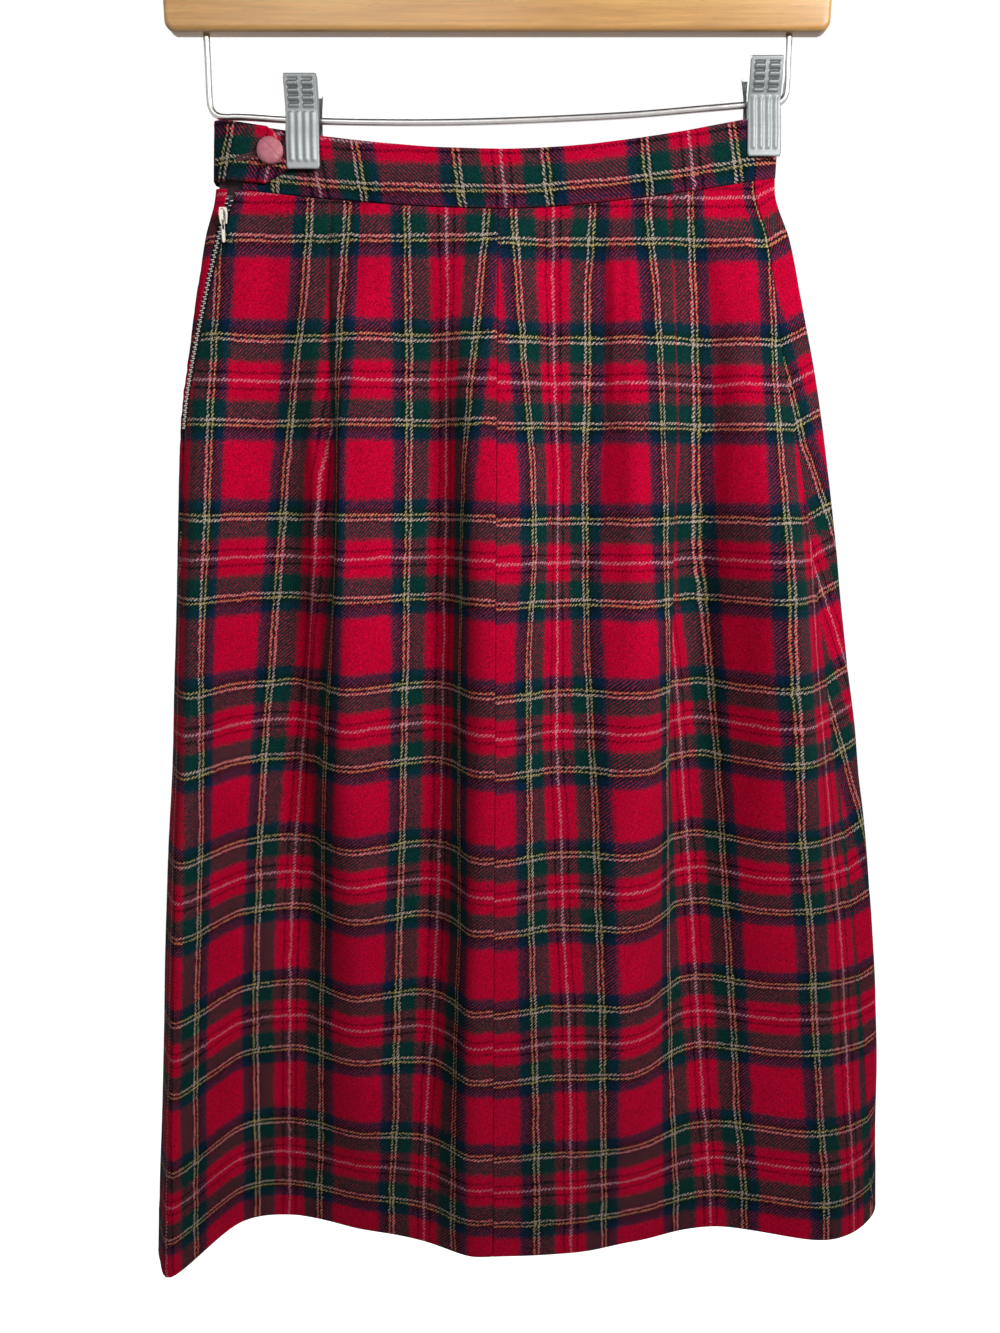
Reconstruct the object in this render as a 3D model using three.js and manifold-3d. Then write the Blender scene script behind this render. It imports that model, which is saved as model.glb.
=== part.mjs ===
// An a-line skirt of checked wool flannel, hanging from two clips on a wooden hanger.
// Millimetres, +Z up, +X to the right of a viewer who faces the front, which looks along -Y.
// The origin is where the hanger's hook rests on its rail or nail.
import * as THREE from 'three';
import * as BufferGeometryUtils from 'three/addons/utils/BufferGeometryUtils.js';
import Module from 'manifold-3d';

// Cloth
const CLOTH = 1.6; // wall of the wool flannel
const BAND_CLOTH = 2.4; // folded and stiffened waistband
const HEM_CLOTH = 2.8; // two layers where the hem is turned up
const HEM_TURN = 38; // height of the turned-up hem
const SEAM_GAP = 0.3;
const WAIST_Z = -209; // centre front of the waist seam
const SKIRT_LENGTH = 672; // from there to the hem
const HALF_WAIST = 165; // half the waistband, laid flat

// The waist seam and the top of the band sag between the clips
const SEAM_RISE = { left: 12, right: 18, power: 1.5 };
const BAND_HEIGHT = 32.5;
const BAND_RISE = { left: 16, right: 21, power: 1.7 };
const BAND_ROWS = 4;

// Levels, measured down from the centre of the waist seam, that the fold table refers to
const LEVELS = { waist: -4, hip: 126, thigh: 281, knee: 491, hem: SKIRT_LENGTH };

// The outline of the hanging skirt, seen from the front
const SIDE_COLUMNS = ['down', 'left', 'right'];
const SIDES = [
  [-54, -163, 160],
  [-12, -166, 160.5],
  [16, -173.5, 171],
  [66, -184, 184.5],
  [121, -193, 198],
  [226, -199, 219],
  [331, -206, 238],
  [436, -215, 254],
  [540, -223, 266],
  [SKIRT_LENGTH, -234, 273],
];

// One row for each crest or trough, in order round the skirt from the left side seam across the
// front. x is measured from the left outline, the centre or the right outline; -y is the viewer's
// side. The first rows are the front, the rows from right_edge to left_edge are the back.
const FOLD_COLUMNS = [
  'name', 'from', 'xWaist', 'xHip', 'xHem', 'yWaist', 'yHip', 'yThigh', 'yKnee', 'yHem',
];
const FOLDS = [
  ['left_seam', 'left', 10, 4, 5, -4, -12, -30, -42, -46],
  ['left_nose', 'left', 22, 17, 15, -5, -18, -44, -56, -60],
  ['left_foot', 'left', 40, 40, 52, -5, -7, -13, -11, -10],
  ['left_trough', 'centre', -118, -126, -150, -5, -4, -6, -4, -4],
  ['left_crest', 'centre', -90, -92, -98, -5, -20, -31, -21, -17],
  ['inner_trough', 'centre', -40, -42, -54, -5, -10, -14, -16, -28],
  ['centre_crest', 'centre', -18, -18, -20, -6, -28, -38, -42, -42],
  ['centre_seam', 'centre', -1, -2, -5, -6, -30, -44, -41, -42],
  ['right_trough', 'centre', 40, 43, 55, -5, -16, -24, -32, -38],
  ['right_crest', 'centre', 88, 88, 95, -5, -24, -32, -28, -28],
  ['right_foot', 'centre', 112, 119, 150, -5, -4, 2, 7, -15],
  ['right_bulge', 'right', -44, -44, -42, -5, -12, -14, -2, -27],
  ['right_seam', 'right', -13, -20, -8, -4, -2, 6, 8, -6],
  ['right_edge', 'right', 0, 0, 0, 0, 4, 15, 12, 12],
  ['back_right_turn', 'right', -12, -13, -14, 4.5, 12, 28, 30, 34],
  ['back_right_crest', 'centre', 118, 130, 175, 5, 20, 36, 46, 56],
  ['back_right_trough', 'centre', 75, 80, 105, 5, 12, 18, 24, 30],
  ['back_mid_crest', 'centre', 28, 32, 45, 5, 18, 34, 42, 50],
  ['back_mid_trough', 'centre', -20, -20, -20, 5, 12, 18, 20, 26],
  ['back_left_crest', 'centre', -70, -75, -95, 5, 20, 36, 44, 52],
  ['back_left_trough', 'centre', -110, -118, -150, 5, 12, 16, 18, 22],
  ['back_left_flank', 'left', 30, 30, 34, 5, 12, 14, 12, 10],
  ['back_left_turn', 'left', 9, 9, 9, 4.5, 4, -4, -12, -14],
  ['left_edge', 'left', 0, 0, 0, 0, -4, -18, -28, -32],
];

// Left side zip
const ZIP_TOP = -9; // down from the centre of the waist seam
const ZIP_END = 152;
const ZIP_TAPER = 24; // the opening closes over this height above its end
const ZIP_OPENING = 5.4;
const CHAIN_WIDTH = 4.4;
const CHAIN_THICK = 2.4;
const TAPE_WIDTH = 13;
const TAPE_THICK = 0.8;
const SLIDER = { down: 4, width: 5.2, height: 9, thick: 1.5, proud: 1.5 };
const BRIDGE = { width: 1.5, thick: 0.9, tunnel: 2.1, below: 1.9, above: 4.6, sunk: 0.3, edge: 0.5 };
const PULL = { width: 3.6, length: 14, thick: 0.9, eye: 6, arm: 0.7, bar: 1, drop: 1.5 };

// Pointed end of the waistband and its button
const TAB_TIP = -112; // x of the point
const TAB_SHOULDER = -135; // x where the end starts to narrow
const TAB_LIFT = 1.6; // the tab sits this much higher than the band under it
const BUTTON = { x: -131.2, z: -179, radius: 7.5, height: 4.6, overhang: 0.25 };

// Places on the fold lines, counted from the left seam
const UNDER_END = 0.55; // where the band under the tab begins
const TAB_TURN = { before: 1.4, after: 0.35 }; // the back band rises onto it between these

// Hanger
const BAR = { left: -189, right: 186, bottom: -115.5, end: 32, middle: 48, thick: 12, corner: 6 };
const BAR_ROUND = 2.5;
const BAR_CROWN = { flat: 60, shoulder: 90 }; // lengths of the curve's level ends
const WIRE = 1.9; // radius of the rail and the hook
const HOOK = { x: -1.5, radius: 22, shank: 14, bend: 6, rise: 10, start: -42, end: 196 };
const RAIL = { left: -166.5, right: 164, bend: 7, leg: 14 };
const RAIL_POINTS = [ // the cross wire sags a little and is not level
  { x: -150, z: -158.4 },
  { x: -112, z: -160.4 },
  { x: -30, z: -161.2 },
  { x: 70, z: -157.6 },
  { x: 120, z: -153.8 },
  { x: 150, z: -151.6 },
];
const CLIPS = [
  { name: 'left', x: -112.7, tip: -188.5, top: -139.5, jaw: 8.7 },
  { name: 'right', x: 150.4, tip: -181, top: -130.5, jaw: 5.9 },
];
const CLIP = {
  width: 19.4,
  plate: 1.2,
  back: 6.3, // from the rail to the back half's jaw
  jawHeight: 14,
  lean: 1.5, // how far the plate leans in from the jaw to the rail
  lever: 12,
  bow: 0.6,
  backDrop: 5, // the back lever ends lower than the front one
  spring: 4.2,
  coil: 11,
};

const WOOL = { color: 0xa8142b, roughness: 0.95, metalness: 0 };
const STEEL = { color: 0xb9bec2, roughness: 0.3, metalness: 1 };
const WOOD = { color: 0xc99a5e, roughness: 0.45, metalness: 0 };
const TAPE = { color: 0x1d1f2b, roughness: 0.9, metalness: 0 };
const SATIN = { color: 0xb04a5c, roughness: 0.35, metalness: 0 };

const wasm = await Module();
wasm.setup();

function rowsOf(columns, table) {
  return table.map((row) => Object.fromEntries(columns.map((column, i) => [column, row[i]])));
}

// A smooth curve through a table's values that never overshoots them.
function through(places, values, place) {
  const last = places.length - 1;
  const at = THREE.MathUtils.clamp(place, places[0], places[last]);
  const widths = places.slice(1).map((p, i) => p - places[i]);
  const rises = widths.map((w, i) => (values[i + 1] - values[i]) / w);
  const slope = (i) => {
    if (i === 0) return rises[0];
    if (i === last) return rises[last - 1];
    const [before, after] = [rises[i - 1], rises[i]];
    if (before * after <= 0) return 0;
    const w1 = 2 * widths[i] + widths[i - 1];
    const w2 = widths[i] + 2 * widths[i - 1];
    return (w1 + w2) / (w1 / before + w2 / after);
  };
  let i = 0;
  while (i < last - 1 && at > places[i + 1]) i += 1;
  const w = widths[i];
  const t = (at - places[i]) / w;
  const start = values[i] * (1 + 2 * t) * (1 - t) ** 2 + w * slope(i) * t * (1 - t) ** 2;
  const end = values[i + 1] * t * t * (3 - 2 * t) + w * slope(i + 1) * t * t * (t - 1);
  return start + end;
}

const sides = rowsOf(SIDE_COLUMNS, SIDES);
const folds = rowsOf(FOLD_COLUMNS, FOLDS);
const line = Object.fromEntries(folds.map((fold, i) => [fold.name, i]));
const levels = Object.values(LEVELS);
const sideLevels = sides.map((side) => side.down);

// The closed curve round the outside of the cloth at one height.
const rings = new Map();
function ring(z) {
  const key = z.toFixed(3);
  if (rings.has(key)) return rings.get(key);
  const down = WAIST_Z - z;
  const base = {
    left: through(sideLevels, sides.map((side) => side.left), down),
    centre: 0,
    right: through(sideLevels, sides.map((side) => side.right), down),
  };
  const places = [LEVELS.waist, LEVELS.hip, LEVELS.hem];
  const points = folds.map((fold) => new THREE.Vector3(
    base[fold.from] + through(places, [fold.xWaist, fold.xHip, fold.xHem], down),
    through(levels, [fold.yWaist, fold.yHip, fold.yThigh, fold.yKnee, fold.yHem], down),
    z,
  ));
  const curve = new THREE.CatmullRomCurve3(points, true, 'centripetal');
  rings.set(key, curve);
  return curve;
}

// A point on that curve at a fold line, moved out from the cloth and along it.
function onCloth(at, z, out = 0, along = 0) {
  const curve = ring(z);
  const u = THREE.MathUtils.euclideanModulo(at / folds.length, 1);
  const tangent = curve.getTangent(u);
  const outward = new THREE.Vector3(tangent.y, -tangent.x, 0).normalize();
  return curve.getPoint(u).addScaledVector(outward, out).addScaledVector(tangent, along);
}

function sagged(x, centre, rise) {
  const side = x < 0 ? rise.left : rise.right;
  return centre + side * (Math.abs(x) / HALF_WAIST) ** rise.power;
}

const bandX = (at) => onCloth(at, WAIST_Z + BAND_HEIGHT / 2).x;
const seamZ = (at) => sagged(bandX(at), WAIST_Z, SEAM_RISE);
const bandTopZ = (at) => sagged(bandX(at), WAIST_Z + BAND_HEIGHT, BAND_RISE);

const ZIP_END_Z = WAIST_Z - ZIP_END;

// The width of the gap between the panels at the left side seam.
function zipOpening(z) {
  const open = THREE.MathUtils.smoothstep(z - ZIP_END_Z, 0, ZIP_TAPER);
  return THREE.MathUtils.lerp(SEAM_GAP, ZIP_OPENING, open);
}

// The fold-line place that lies a distance along the cloth from another place.
function placeAlong(at, z, distance) {
  const step = 0.02 * Math.sign(distance);
  let place = at;
  let left = Math.abs(distance);
  let here = onCloth(place, z);
  while (left > 1e-6) {
    const next = onCloth(place + step, z);
    const length = next.distanceTo(here);
    const part = Math.min(1, left / length);
    place += step * part;
    left -= length * part;
    here = next;
  }
  return place;
}

function solidFrom(vertices, triangles) {
  const geometry = new THREE.BufferGeometry();
  geometry.setAttribute('position', new THREE.Float32BufferAttribute(vertices.flat(), 3));
  geometry.setIndex(triangles.flat());
  geometry.computeVertexNormals();
  return geometry;
}

// A closed wall: columns run along the cloth, rows from its lower edge to its upper edge.
// outer(column, row) and inner(column, row) give its two faces.
function wall(columns, rows, outer, inner) {
  const vertices = [];
  const index = (face, c, r) => (face * columns + c) * rows + r;
  for (const face of [outer, inner]) {
    for (let c = 0; c < columns; c += 1) {
      for (let r = 0; r < rows; r += 1) vertices.push(face(c, r).toArray());
    }
  }
  const triangles = [];
  const quad = (a, b, c, d) => triangles.push([a, b, c], [a, c, d]);
  for (let c = 0; c < columns - 1; c += 1) {
    for (let r = 0; r < rows - 1; r += 1) {
      quad(index(0, c, r), index(0, c + 1, r), index(0, c + 1, r + 1), index(0, c, r + 1));
      quad(index(1, c, r), index(1, c, r + 1), index(1, c + 1, r + 1), index(1, c + 1, r));
    }
    const top = rows - 1;
    quad(index(1, c, 0), index(1, c + 1, 0), index(0, c + 1, 0), index(0, c, 0));
    quad(index(0, c, top), index(0, c + 1, top), index(1, c + 1, top), index(1, c, top));
  }
  const end = columns - 1;
  for (let r = 0; r < rows - 1; r += 1) {
    quad(index(1, 0, r), index(0, 0, r), index(0, 0, r + 1), index(1, 0, r + 1));
    quad(index(0, end, r), index(1, end, r), index(1, end, r + 1), index(0, end, r + 1));
  }
  return solidFrom(vertices, triangles);
}

// Fold-line places from one line to another, with the same number of steps between lines.
function placesBetween(from, to, steps) {
  const span = THREE.MathUtils.euclideanModulo(to - from, folds.length);
  const count = Math.ceil(span * steps);
  return Array.from({ length: count + 1 }, (_, i) => from + (span * i) / count);
}

// A skirt panel between two seams, with its hem turned up inside.
const HEM_Z = WAIST_Z - SKIRT_LENGTH;
const HEM_ROWS = [HEM_Z, HEM_Z + HEM_TURN / 2, HEM_Z + HEM_TURN];
const SKIRT_ROWS = 10; // from the turned-up hem to the end of the zip
const HIP_ROWS = 8; // from there to the waist seam
function panel(from, to, steps, startGap, endGap) {
  const places = placesBetween(from, to, steps);
  const aboveHem = HEM_Z + HEM_TURN + 1;
  const skirtRows = Array.from({ length: SKIRT_ROWS }, (_, i) => (
    THREE.MathUtils.lerp(aboveHem, ZIP_END_Z, i / (SKIRT_ROWS - 1))));
  const levelRows = [...HEM_ROWS, ...skirtRows, ZIP_END_Z + ZIP_TAPER];
  const rows = levelRows.length + HIP_ROWS;
  const zAt = (c, r) => {
    if (r < levelRows.length) return levelRows[r];
    const t = (r - levelRows.length + 1) / HIP_ROWS;
    return THREE.MathUtils.lerp(levelRows.at(-1), seamZ(places[c]) - SEAM_GAP / 2, t);
  };
  const ends = new Map();
  const endsAt = (z) => {
    const key = z.toFixed(3);
    if (!ends.has(key)) {
      ends.set(key, [placeAlong(from, z, startGap(z) / 2), placeAlong(to, z, -endGap(z) / 2)]);
    }
    return ends.get(key);
  };
  // The columns beside a seam close up to leave its gap
  const placeAt = (c, z) => {
    const [start, end] = endsAt(z);
    const at = places[c];
    if (at < from + 1) return THREE.MathUtils.mapLinear(at, from, from + 1, start, from + 1);
    if (at > to - 2) return THREE.MathUtils.mapLinear(at, to - 2, to, to - 2, end);
    return at;
  };
  const face = (inwards) => (c, r) => {
    const z = zAt(c, r);
    return onCloth(placeAt(c, z), z, -inwards(r));
  };
  const depth = (r) => (r < HEM_ROWS.length ? HEM_CLOTH : CLOTH);
  return wall(places.length, rows, face(() => 0), face(depth));
}

const sewn = () => SEAM_GAP;

function waistbandFront() {
  const places = placesBetween(line.left_seam + UNDER_END, line.right_seam, 3);
  const zAt = (c, r) => THREE.MathUtils.lerp(
    seamZ(places[c]) + SEAM_GAP / 2, bandTopZ(places[c]), r / (BAND_ROWS - 1));
  const shift = (c) => (c === places.length - 1 ? -SEAM_GAP / 2 : 0);
  const face = (out) => (c, r) => onCloth(places[c], zAt(c, r), out, shift(c));
  return wall(places.length, BAND_ROWS, face(0), face(-BAND_CLOTH));
}

// The place between two others where the middle of the band passes x.
function placeAtX(x, from, to) {
  let [low, high] = [from, to];
  for (let i = 0; i < 40; i += 1) {
    const middle = (low + high) / 2;
    if (bandX(middle) < x) low = middle;
    else high = middle;
  }
  return (low + high) / 2;
}

// The band goes on round the back and the left side, and its pointed end lies on the front band.
function waistbandBack() {
  const full = folds.length; // the left seam again, after one turn
  const tip = placeAtX(TAB_TIP, line.left_seam, line.left_crest) + full;
  const around = placesBetween(line.right_seam, full, 3);
  const over = placesBetween(full, tip, 5).slice(1);
  const places = [...around, ...over];
  const narrowed = (at) => (at < full ? 0 : THREE.MathUtils.clamp(
    (bandX(at) - TAB_SHOULDER) / (TAB_TIP - TAB_SHOULDER), 0, 0.96));
  const overlap = (at) => THREE.MathUtils.smoothstep(
    at, full - 1 - TAB_TURN.before, full + TAB_TURN.after);
  const zAt = (c, r) => {
    const at = places[c];
    const low = seamZ(at) + SEAM_GAP / 2 + TAB_LIFT * overlap(at);
    const high = bandTopZ(at);
    const even = THREE.MathUtils.lerp(low, high, r / (BAND_ROWS - 1));
    return THREE.MathUtils.lerp(even, (low + high) / 2, narrowed(at));
  };
  const lift = (at) => (BAND_CLOTH + SEAM_GAP) * overlap(at);
  const shift = (c) => (c === 0 ? SEAM_GAP / 2 : 0);
  const face = (out) => (c, r) => onCloth(places[c], zAt(c, r), out + lift(places[c]), shift(c));
  return wall(places.length, BAND_ROWS, face(0), face(-BAND_CLOTH));
}

// A strip that follows the left side seam, between two distances out from the cloth.
function seamStrip(halfWidth, outer, inner, topDown, endDown, rows) {
  const across = [-1, -0.5, 0, 0.5, 1];
  const face = (out) => (c, r) => {
    const z = WAIST_Z - THREE.MathUtils.lerp(endDown, topDown, r / (rows - 1));
    return onCloth(placeAlong(line.left_seam, z, across[c] * halfWidth), z, out);
  };
  return wall(across.length, rows, face(outer), face(inner));
}

const TAPE_OUT = -CLOTH - SEAM_GAP - 0.1;
const TAPE_END = ZIP_END - 4;
const CHAIN_OUT = TAPE_OUT + SEAM_GAP + CHAIN_THICK;
const CHAIN_TOP = ZIP_TOP + 2;
const CHAIN_END = ZIP_END - ZIP_TAPER - 2;
const zipTape = () => seamStrip(
  TAPE_WIDTH / 2, TAPE_OUT, TAPE_OUT - TAPE_THICK, ZIP_TOP, TAPE_END, 10);
const zipChain = () => seamStrip(
  CHAIN_WIDTH / 2, CHAIN_OUT, CHAIN_OUT - CHAIN_THICK, CHAIN_TOP, CHAIN_END, 16);

function solidOf(geometry) {
  const plain = geometry.clone();
  plain.deleteAttribute('normal');
  plain.deleteAttribute('uv');
  const merged = BufferGeometryUtils.mergeVertices(plain, 1e-4);
  return new wasm.Manifold(new wasm.Mesh({
    numProp: 3,
    vertProperties: new Float32Array(merged.attributes.position.array),
    triVerts: new Uint32Array(merged.index.array),
  }));
}

function geometryOf(solid) {
  const mesh = solid.getMesh();
  const geometry = new THREE.BufferGeometry();
  geometry.setAttribute('position', new THREE.BufferAttribute(mesh.vertProperties, 3));
  geometry.setIndex(new THREE.BufferAttribute(mesh.triVerts, 1));
  geometry.computeVertexNormals();
  return geometry;
}

// Extrudes an outline drawn in Y and Z along X, centred on x.
const SIDEWAYS = new THREE.Matrix4().makeBasis(
  new THREE.Vector3(0, 1, 0), new THREE.Vector3(0, 0, 1), new THREE.Vector3(1, 0, 0));
function extrudeSideways(outline, x, width) {
  const shape = new THREE.Shape(outline.map(([y, z]) => new THREE.Vector2(y, z)));
  const geometry = new THREE.ExtrudeGeometry(shape, { depth: width, bevelEnabled: false });
  return geometry.applyMatrix4(SIDEWAYS).translate(x - width / 2, 0, 0);
}

// Extrudes a shape drawn in X and Z towards the viewer, from y to y - thick.
const UPRIGHT = new THREE.Matrix4().makeBasis(
  new THREE.Vector3(1, 0, 0), new THREE.Vector3(0, 0, 1), new THREE.Vector3(0, -1, 0));
function extrudeForward(shape, y, thick, options = {}) {
  const settings = { depth: thick, bevelEnabled: false, curveSegments: 8, ...options };
  return new THREE.ExtrudeGeometry(shape, settings).applyMatrix4(UPRIGHT).translate(0, y, 0);
}

// Where the slider sits on the chain, and the axis its pull turns about
const sliderZ = WAIST_Z - SLIDER.down;
const sliderSeat = onCloth(line.left_seam, sliderZ);
const sliderBack = sliderSeat.y - SLIDER.proud;
const sliderFront = sliderBack - SLIDER.thick;
const pullAxis = new THREE.Vector3(
  sliderSeat.x, sliderFront - BRIDGE.tunnel / 2, sliderZ - PULL.drop);

// The slider's plate, with the bridge that holds the pull.
function zipSlider() {
  const half = SLIDER.width / 2;
  const outline = new THREE.Shape([
    new THREE.Vector2(-half * 0.75, -SLIDER.height / 2),
    new THREE.Vector2(half * 0.75, -SLIDER.height / 2),
    new THREE.Vector2(half, SLIDER.height * 0.1),
    new THREE.Vector2(half * 0.8, SLIDER.height / 2),
    new THREE.Vector2(-half * 0.8, SLIDER.height / 2),
    new THREE.Vector2(-half, SLIDER.height * 0.1),
  ]);
  const plate = extrudeForward(outline, sliderBack, SLIDER.thick).translate(pullAxis.x, 0, sliderZ);
  const inside = sliderFront - BRIDGE.tunnel;
  const outside = inside - BRIDGE.thick;
  const root = sliderFront + BRIDGE.sunk;
  const [low, high] = [pullAxis.z - BRIDGE.below, pullAxis.z + BRIDGE.above];
  const bridge = extrudeSideways([
    [outside + BRIDGE.edge, low],
    [outside, low + BRIDGE.edge],
    [outside, high - BRIDGE.edge],
    [outside + BRIDGE.edge, high],
    [root, high],
    [root, high - BRIDGE.thick],
    [inside, high - BRIDGE.thick],
    [inside, low + BRIDGE.thick],
    [root, low + BRIDGE.thick],
    [root, low],
  ], pullAxis.x, BRIDGE.width);
  return geometryOf(solidOf(plate).add(solidOf(bridge)));
}

// The pull: a plate with a long eye, whose end bar lies under the slider's bridge.
function zipPull() {
  const half = PULL.width / 2;
  const top = pullAxis.z + PULL.bar / 2;
  const bottom = top - PULL.length;
  const x = pullAxis.x;
  const outline = new THREE.Shape();
  outline.moveTo(x - half, top);
  outline.lineTo(x - half, bottom + half);
  outline.absarc(x, bottom + half, half, Math.PI, 2 * Math.PI, false);
  outline.lineTo(x + half, top);
  outline.closePath();
  const inner = half - PULL.arm;
  const eye = new THREE.Path([
    new THREE.Vector2(x - inner, top - PULL.bar),
    new THREE.Vector2(x + inner, top - PULL.bar),
    new THREE.Vector2(x + inner, top - PULL.bar - PULL.eye),
    new THREE.Vector2(x - inner, top - PULL.bar - PULL.eye),
  ]);
  outline.holes.push(eye);
  return extrudeForward(outline, pullAxis.y + PULL.thick / 2, PULL.thick);
}

// A covered button: a low dome with a rounded rim, lying against the tab.
function button() {
  const { radius, height } = BUTTON;
  const profile = [
    [0, 0], [radius * 0.86, 0], [radius, height * 0.28], [radius, height * 0.5],
    [radius * 0.9, height * 0.74], [radius * 0.6, height * 0.93], [0, height],
  ].map(([r, y]) => new THREE.Vector2(r, y));
  const at = placeAtX(BUTTON.x, line.left_seam, line.left_crest);
  const seat = onCloth(at, BUTTON.z, BAND_CLOTH + 2 * SEAM_GAP).y - BUTTON.overhang;
  return new THREE.LatheGeometry(profile, 28)
    .rotateX(Math.PI)
    .translate(BUTTON.x, seat, BUTTON.z);
}

function rod(points, radius, steps, sides) {
  const section = new THREE.Shape(Array.from({ length: sides }, (_, i) => {
    const angle = (2 * Math.PI * i) / sides;
    return new THREE.Vector2(radius * Math.cos(angle), radius * Math.sin(angle));
  }));
  const path = new THREE.CatmullRomCurve3(points, false, 'centripetal');
  return new THREE.ExtrudeGeometry(section, { steps, extrudePath: path, bevelEnabled: false });
}

// Points of an arc in the XZ plane, with angles in degrees from +X towards +Z.
function arcXZ(x, z, radius, from, to, count) {
  return Array.from({ length: count + 1 }, (_, i) => {
    const angle = THREE.MathUtils.degToRad(THREE.MathUtils.lerp(from, to, i / count));
    return new THREE.Vector3(x + radius * Math.cos(angle), 0, z + radius * Math.sin(angle));
  });
}

function hangerBar() {
  const { left, right, bottom, end, middle, corner } = BAR;
  const inset = BAR_ROUND;
  const [l, r, b] = [left + inset, right - inset, bottom + inset];
  const c = corner - inset;
  const shape = new THREE.Shape();
  shape.moveTo(l + c, b);
  shape.lineTo(r - c, b);
  shape.absarc(r - c, b + c, c, -Math.PI / 2, 0, false);
  shape.lineTo(r, bottom + end - inset - c);
  shape.absarc(r - c, bottom + end - inset - c, c, 0, Math.PI / 2, false);
  const crown = bottom + middle - inset;
  const ends = bottom + end - inset;
  const { flat, shoulder } = BAR_CROWN;
  shape.bezierCurveTo(r - shoulder, ends, HOOK.x + flat, crown, HOOK.x, crown);
  shape.bezierCurveTo(HOOK.x - flat, crown, l + shoulder, ends, l + c, ends);
  shape.absarc(l + c, ends - c, c, Math.PI / 2, Math.PI, false);
  shape.lineTo(l, b + c);
  shape.absarc(l + c, b + c, c, Math.PI, 1.5 * Math.PI, false);
  const depth = BAR.thick - 2 * inset;
  return extrudeForward(shape, BAR.thick / 2 - inset, depth, {
    bevelEnabled: true, bevelThickness: inset, bevelSize: inset, bevelSegments: 3, curveSegments: 10,
  });
}

function hook() {
  const centreZ = -(HOOK.radius - WIRE);
  const crown = BAR.bottom + BAR.middle;
  const points = [
    new THREE.Vector3(HOOK.x, 0, crown + SEAM_GAP),
    new THREE.Vector3(HOOK.x, 0, crown + HOOK.shank),
    new THREE.Vector3(HOOK.x + HOOK.bend, 0, crown + HOOK.shank + HOOK.rise),
    ...arcXZ(0, centreZ, HOOK.radius, HOOK.start, HOOK.end, 12),
  ];
  return rod(points, WIRE, 40, 8);
}

function rail() {
  const { left, right, bend, leg } = RAIL;
  const top = BAR.bottom - SEAM_GAP;
  const [leftZ, rightZ] = [RAIL_POINTS[0].z, RAIL_POINTS.at(-1).z];
  const points = [
    new THREE.Vector3(left, 0, top),
    new THREE.Vector3(left, 0, top - leg),
    ...arcXZ(left + bend, leftZ + bend, bend, 180, 270, 4),
    ...RAIL_POINTS.map(({ x, z }) => new THREE.Vector3(x, 0, z)),
    ...arcXZ(right - bend, rightZ + bend, bend, 270, 360, 4),
    new THREE.Vector3(right, 0, top - leg),
    new THREE.Vector3(right, 0, top),
  ];
  return rod(points, WIRE, 56, 8);
}

function railZ(x) {
  return through(RAIL_POINTS.map((p) => p.x), RAIL_POINTS.map((p) => p.z), x);
}

// One half of a clip: a bent steel plate. side -1 is the front half, 1 the back half.
function clipPlate(clip, side) {
  const pivot = railZ(clip.x);
  const jaw = side < 0 ? clip.jaw : CLIP.back;
  const seat = CLIP.spring + SEAM_GAP + 0.1 + CLIP.plate / 2;
  const spine = [
    [jaw, clip.tip],
    [jaw, clip.tip + CLIP.jawHeight],
    [Math.max(seat, jaw - CLIP.lean), pivot],
    [(seat + CLIP.lever) / 2 + CLIP.bow, (pivot + clip.top) / 2],
    [CLIP.lever, side < 0 ? clip.top : clip.top - CLIP.backDrop],
  ].map(([y, z]) => new THREE.Vector2(side * y, z));
  const normals = spine.map((_, i) => {
    const ahead = spine[Math.min(i + 1, spine.length - 1)];
    const behind = spine[Math.max(i - 1, 0)];
    const run = ahead.clone().sub(behind).normalize();
    return new THREE.Vector2(-run.y, run.x).multiplyScalar(CLIP.plate / 2);
  });
  const left = spine.map((point, i) => point.clone().add(normals[i]).toArray());
  const right = spine.map((point, i) => point.clone().sub(normals[i]).toArray());
  return extrudeSideways([...right, ...left.reverse()], clip.x, CLIP.width);
}

// The clip's spring, coiled round the rail: a sleeve with the coil's outer shape.
const SPRING_PLAY = 0.5;
function clipSpring(clip) {
  const inner = WIRE + SPRING_PLAY;
  const half = CLIP.coil / 2;
  const profile = [
    [inner, -half], [CLIP.spring, -half], [CLIP.spring, half], [inner, half], [inner, -half],
  ].map(([r, y]) => new THREE.Vector2(r, y));
  const tilt = Math.atan2(railZ(clip.x + half) - railZ(clip.x - half), CLIP.coil);
  return new THREE.LatheGeometry(profile, 16)
    .rotateZ(Math.PI / 2)
    .rotateY(-tilt)
    .translate(clip.x, 0, railZ(clip.x));
}

const skirt = new THREE.Group();
function add(name, geometry, finish) {
  const mesh = new THREE.Mesh(geometry, new THREE.MeshStandardMaterial(finish));
  mesh.name = name;
  skirt.add(mesh);
}

add('front_left', panel(line.left_seam, line.centre_seam, 3, zipOpening, sewn), WOOL);
add('front_right', panel(line.centre_seam, line.right_seam, 4, sewn, sewn), WOOL);
add('back', panel(line.right_seam, line.left_seam + folds.length, 3, sewn, zipOpening), WOOL);
add('waistband_front', waistbandFront(), WOOL);
add('waistband_back', waistbandBack(), WOOL);
add('button', button(), SATIN);
add('zip_tape', zipTape(), TAPE);
add('zip_chain', zipChain(), STEEL);
add('zip_slider', zipSlider(), STEEL);
add('zip_pull', zipPull(), STEEL);
add('hanger_bar', hangerBar(), WOOD);
add('hook', hook(), STEEL);
add('rail', rail(), STEEL);
for (const clip of CLIPS) {
  add(`clip_${clip.name}_front`, clipPlate(clip, -1), STEEL);
  add(`clip_${clip.name}_back`, clipPlate(clip, 1), STEEL);
  add(`clip_${clip.name}_spring`, clipSpring(clip), STEEL);
}

export default skirt;
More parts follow.
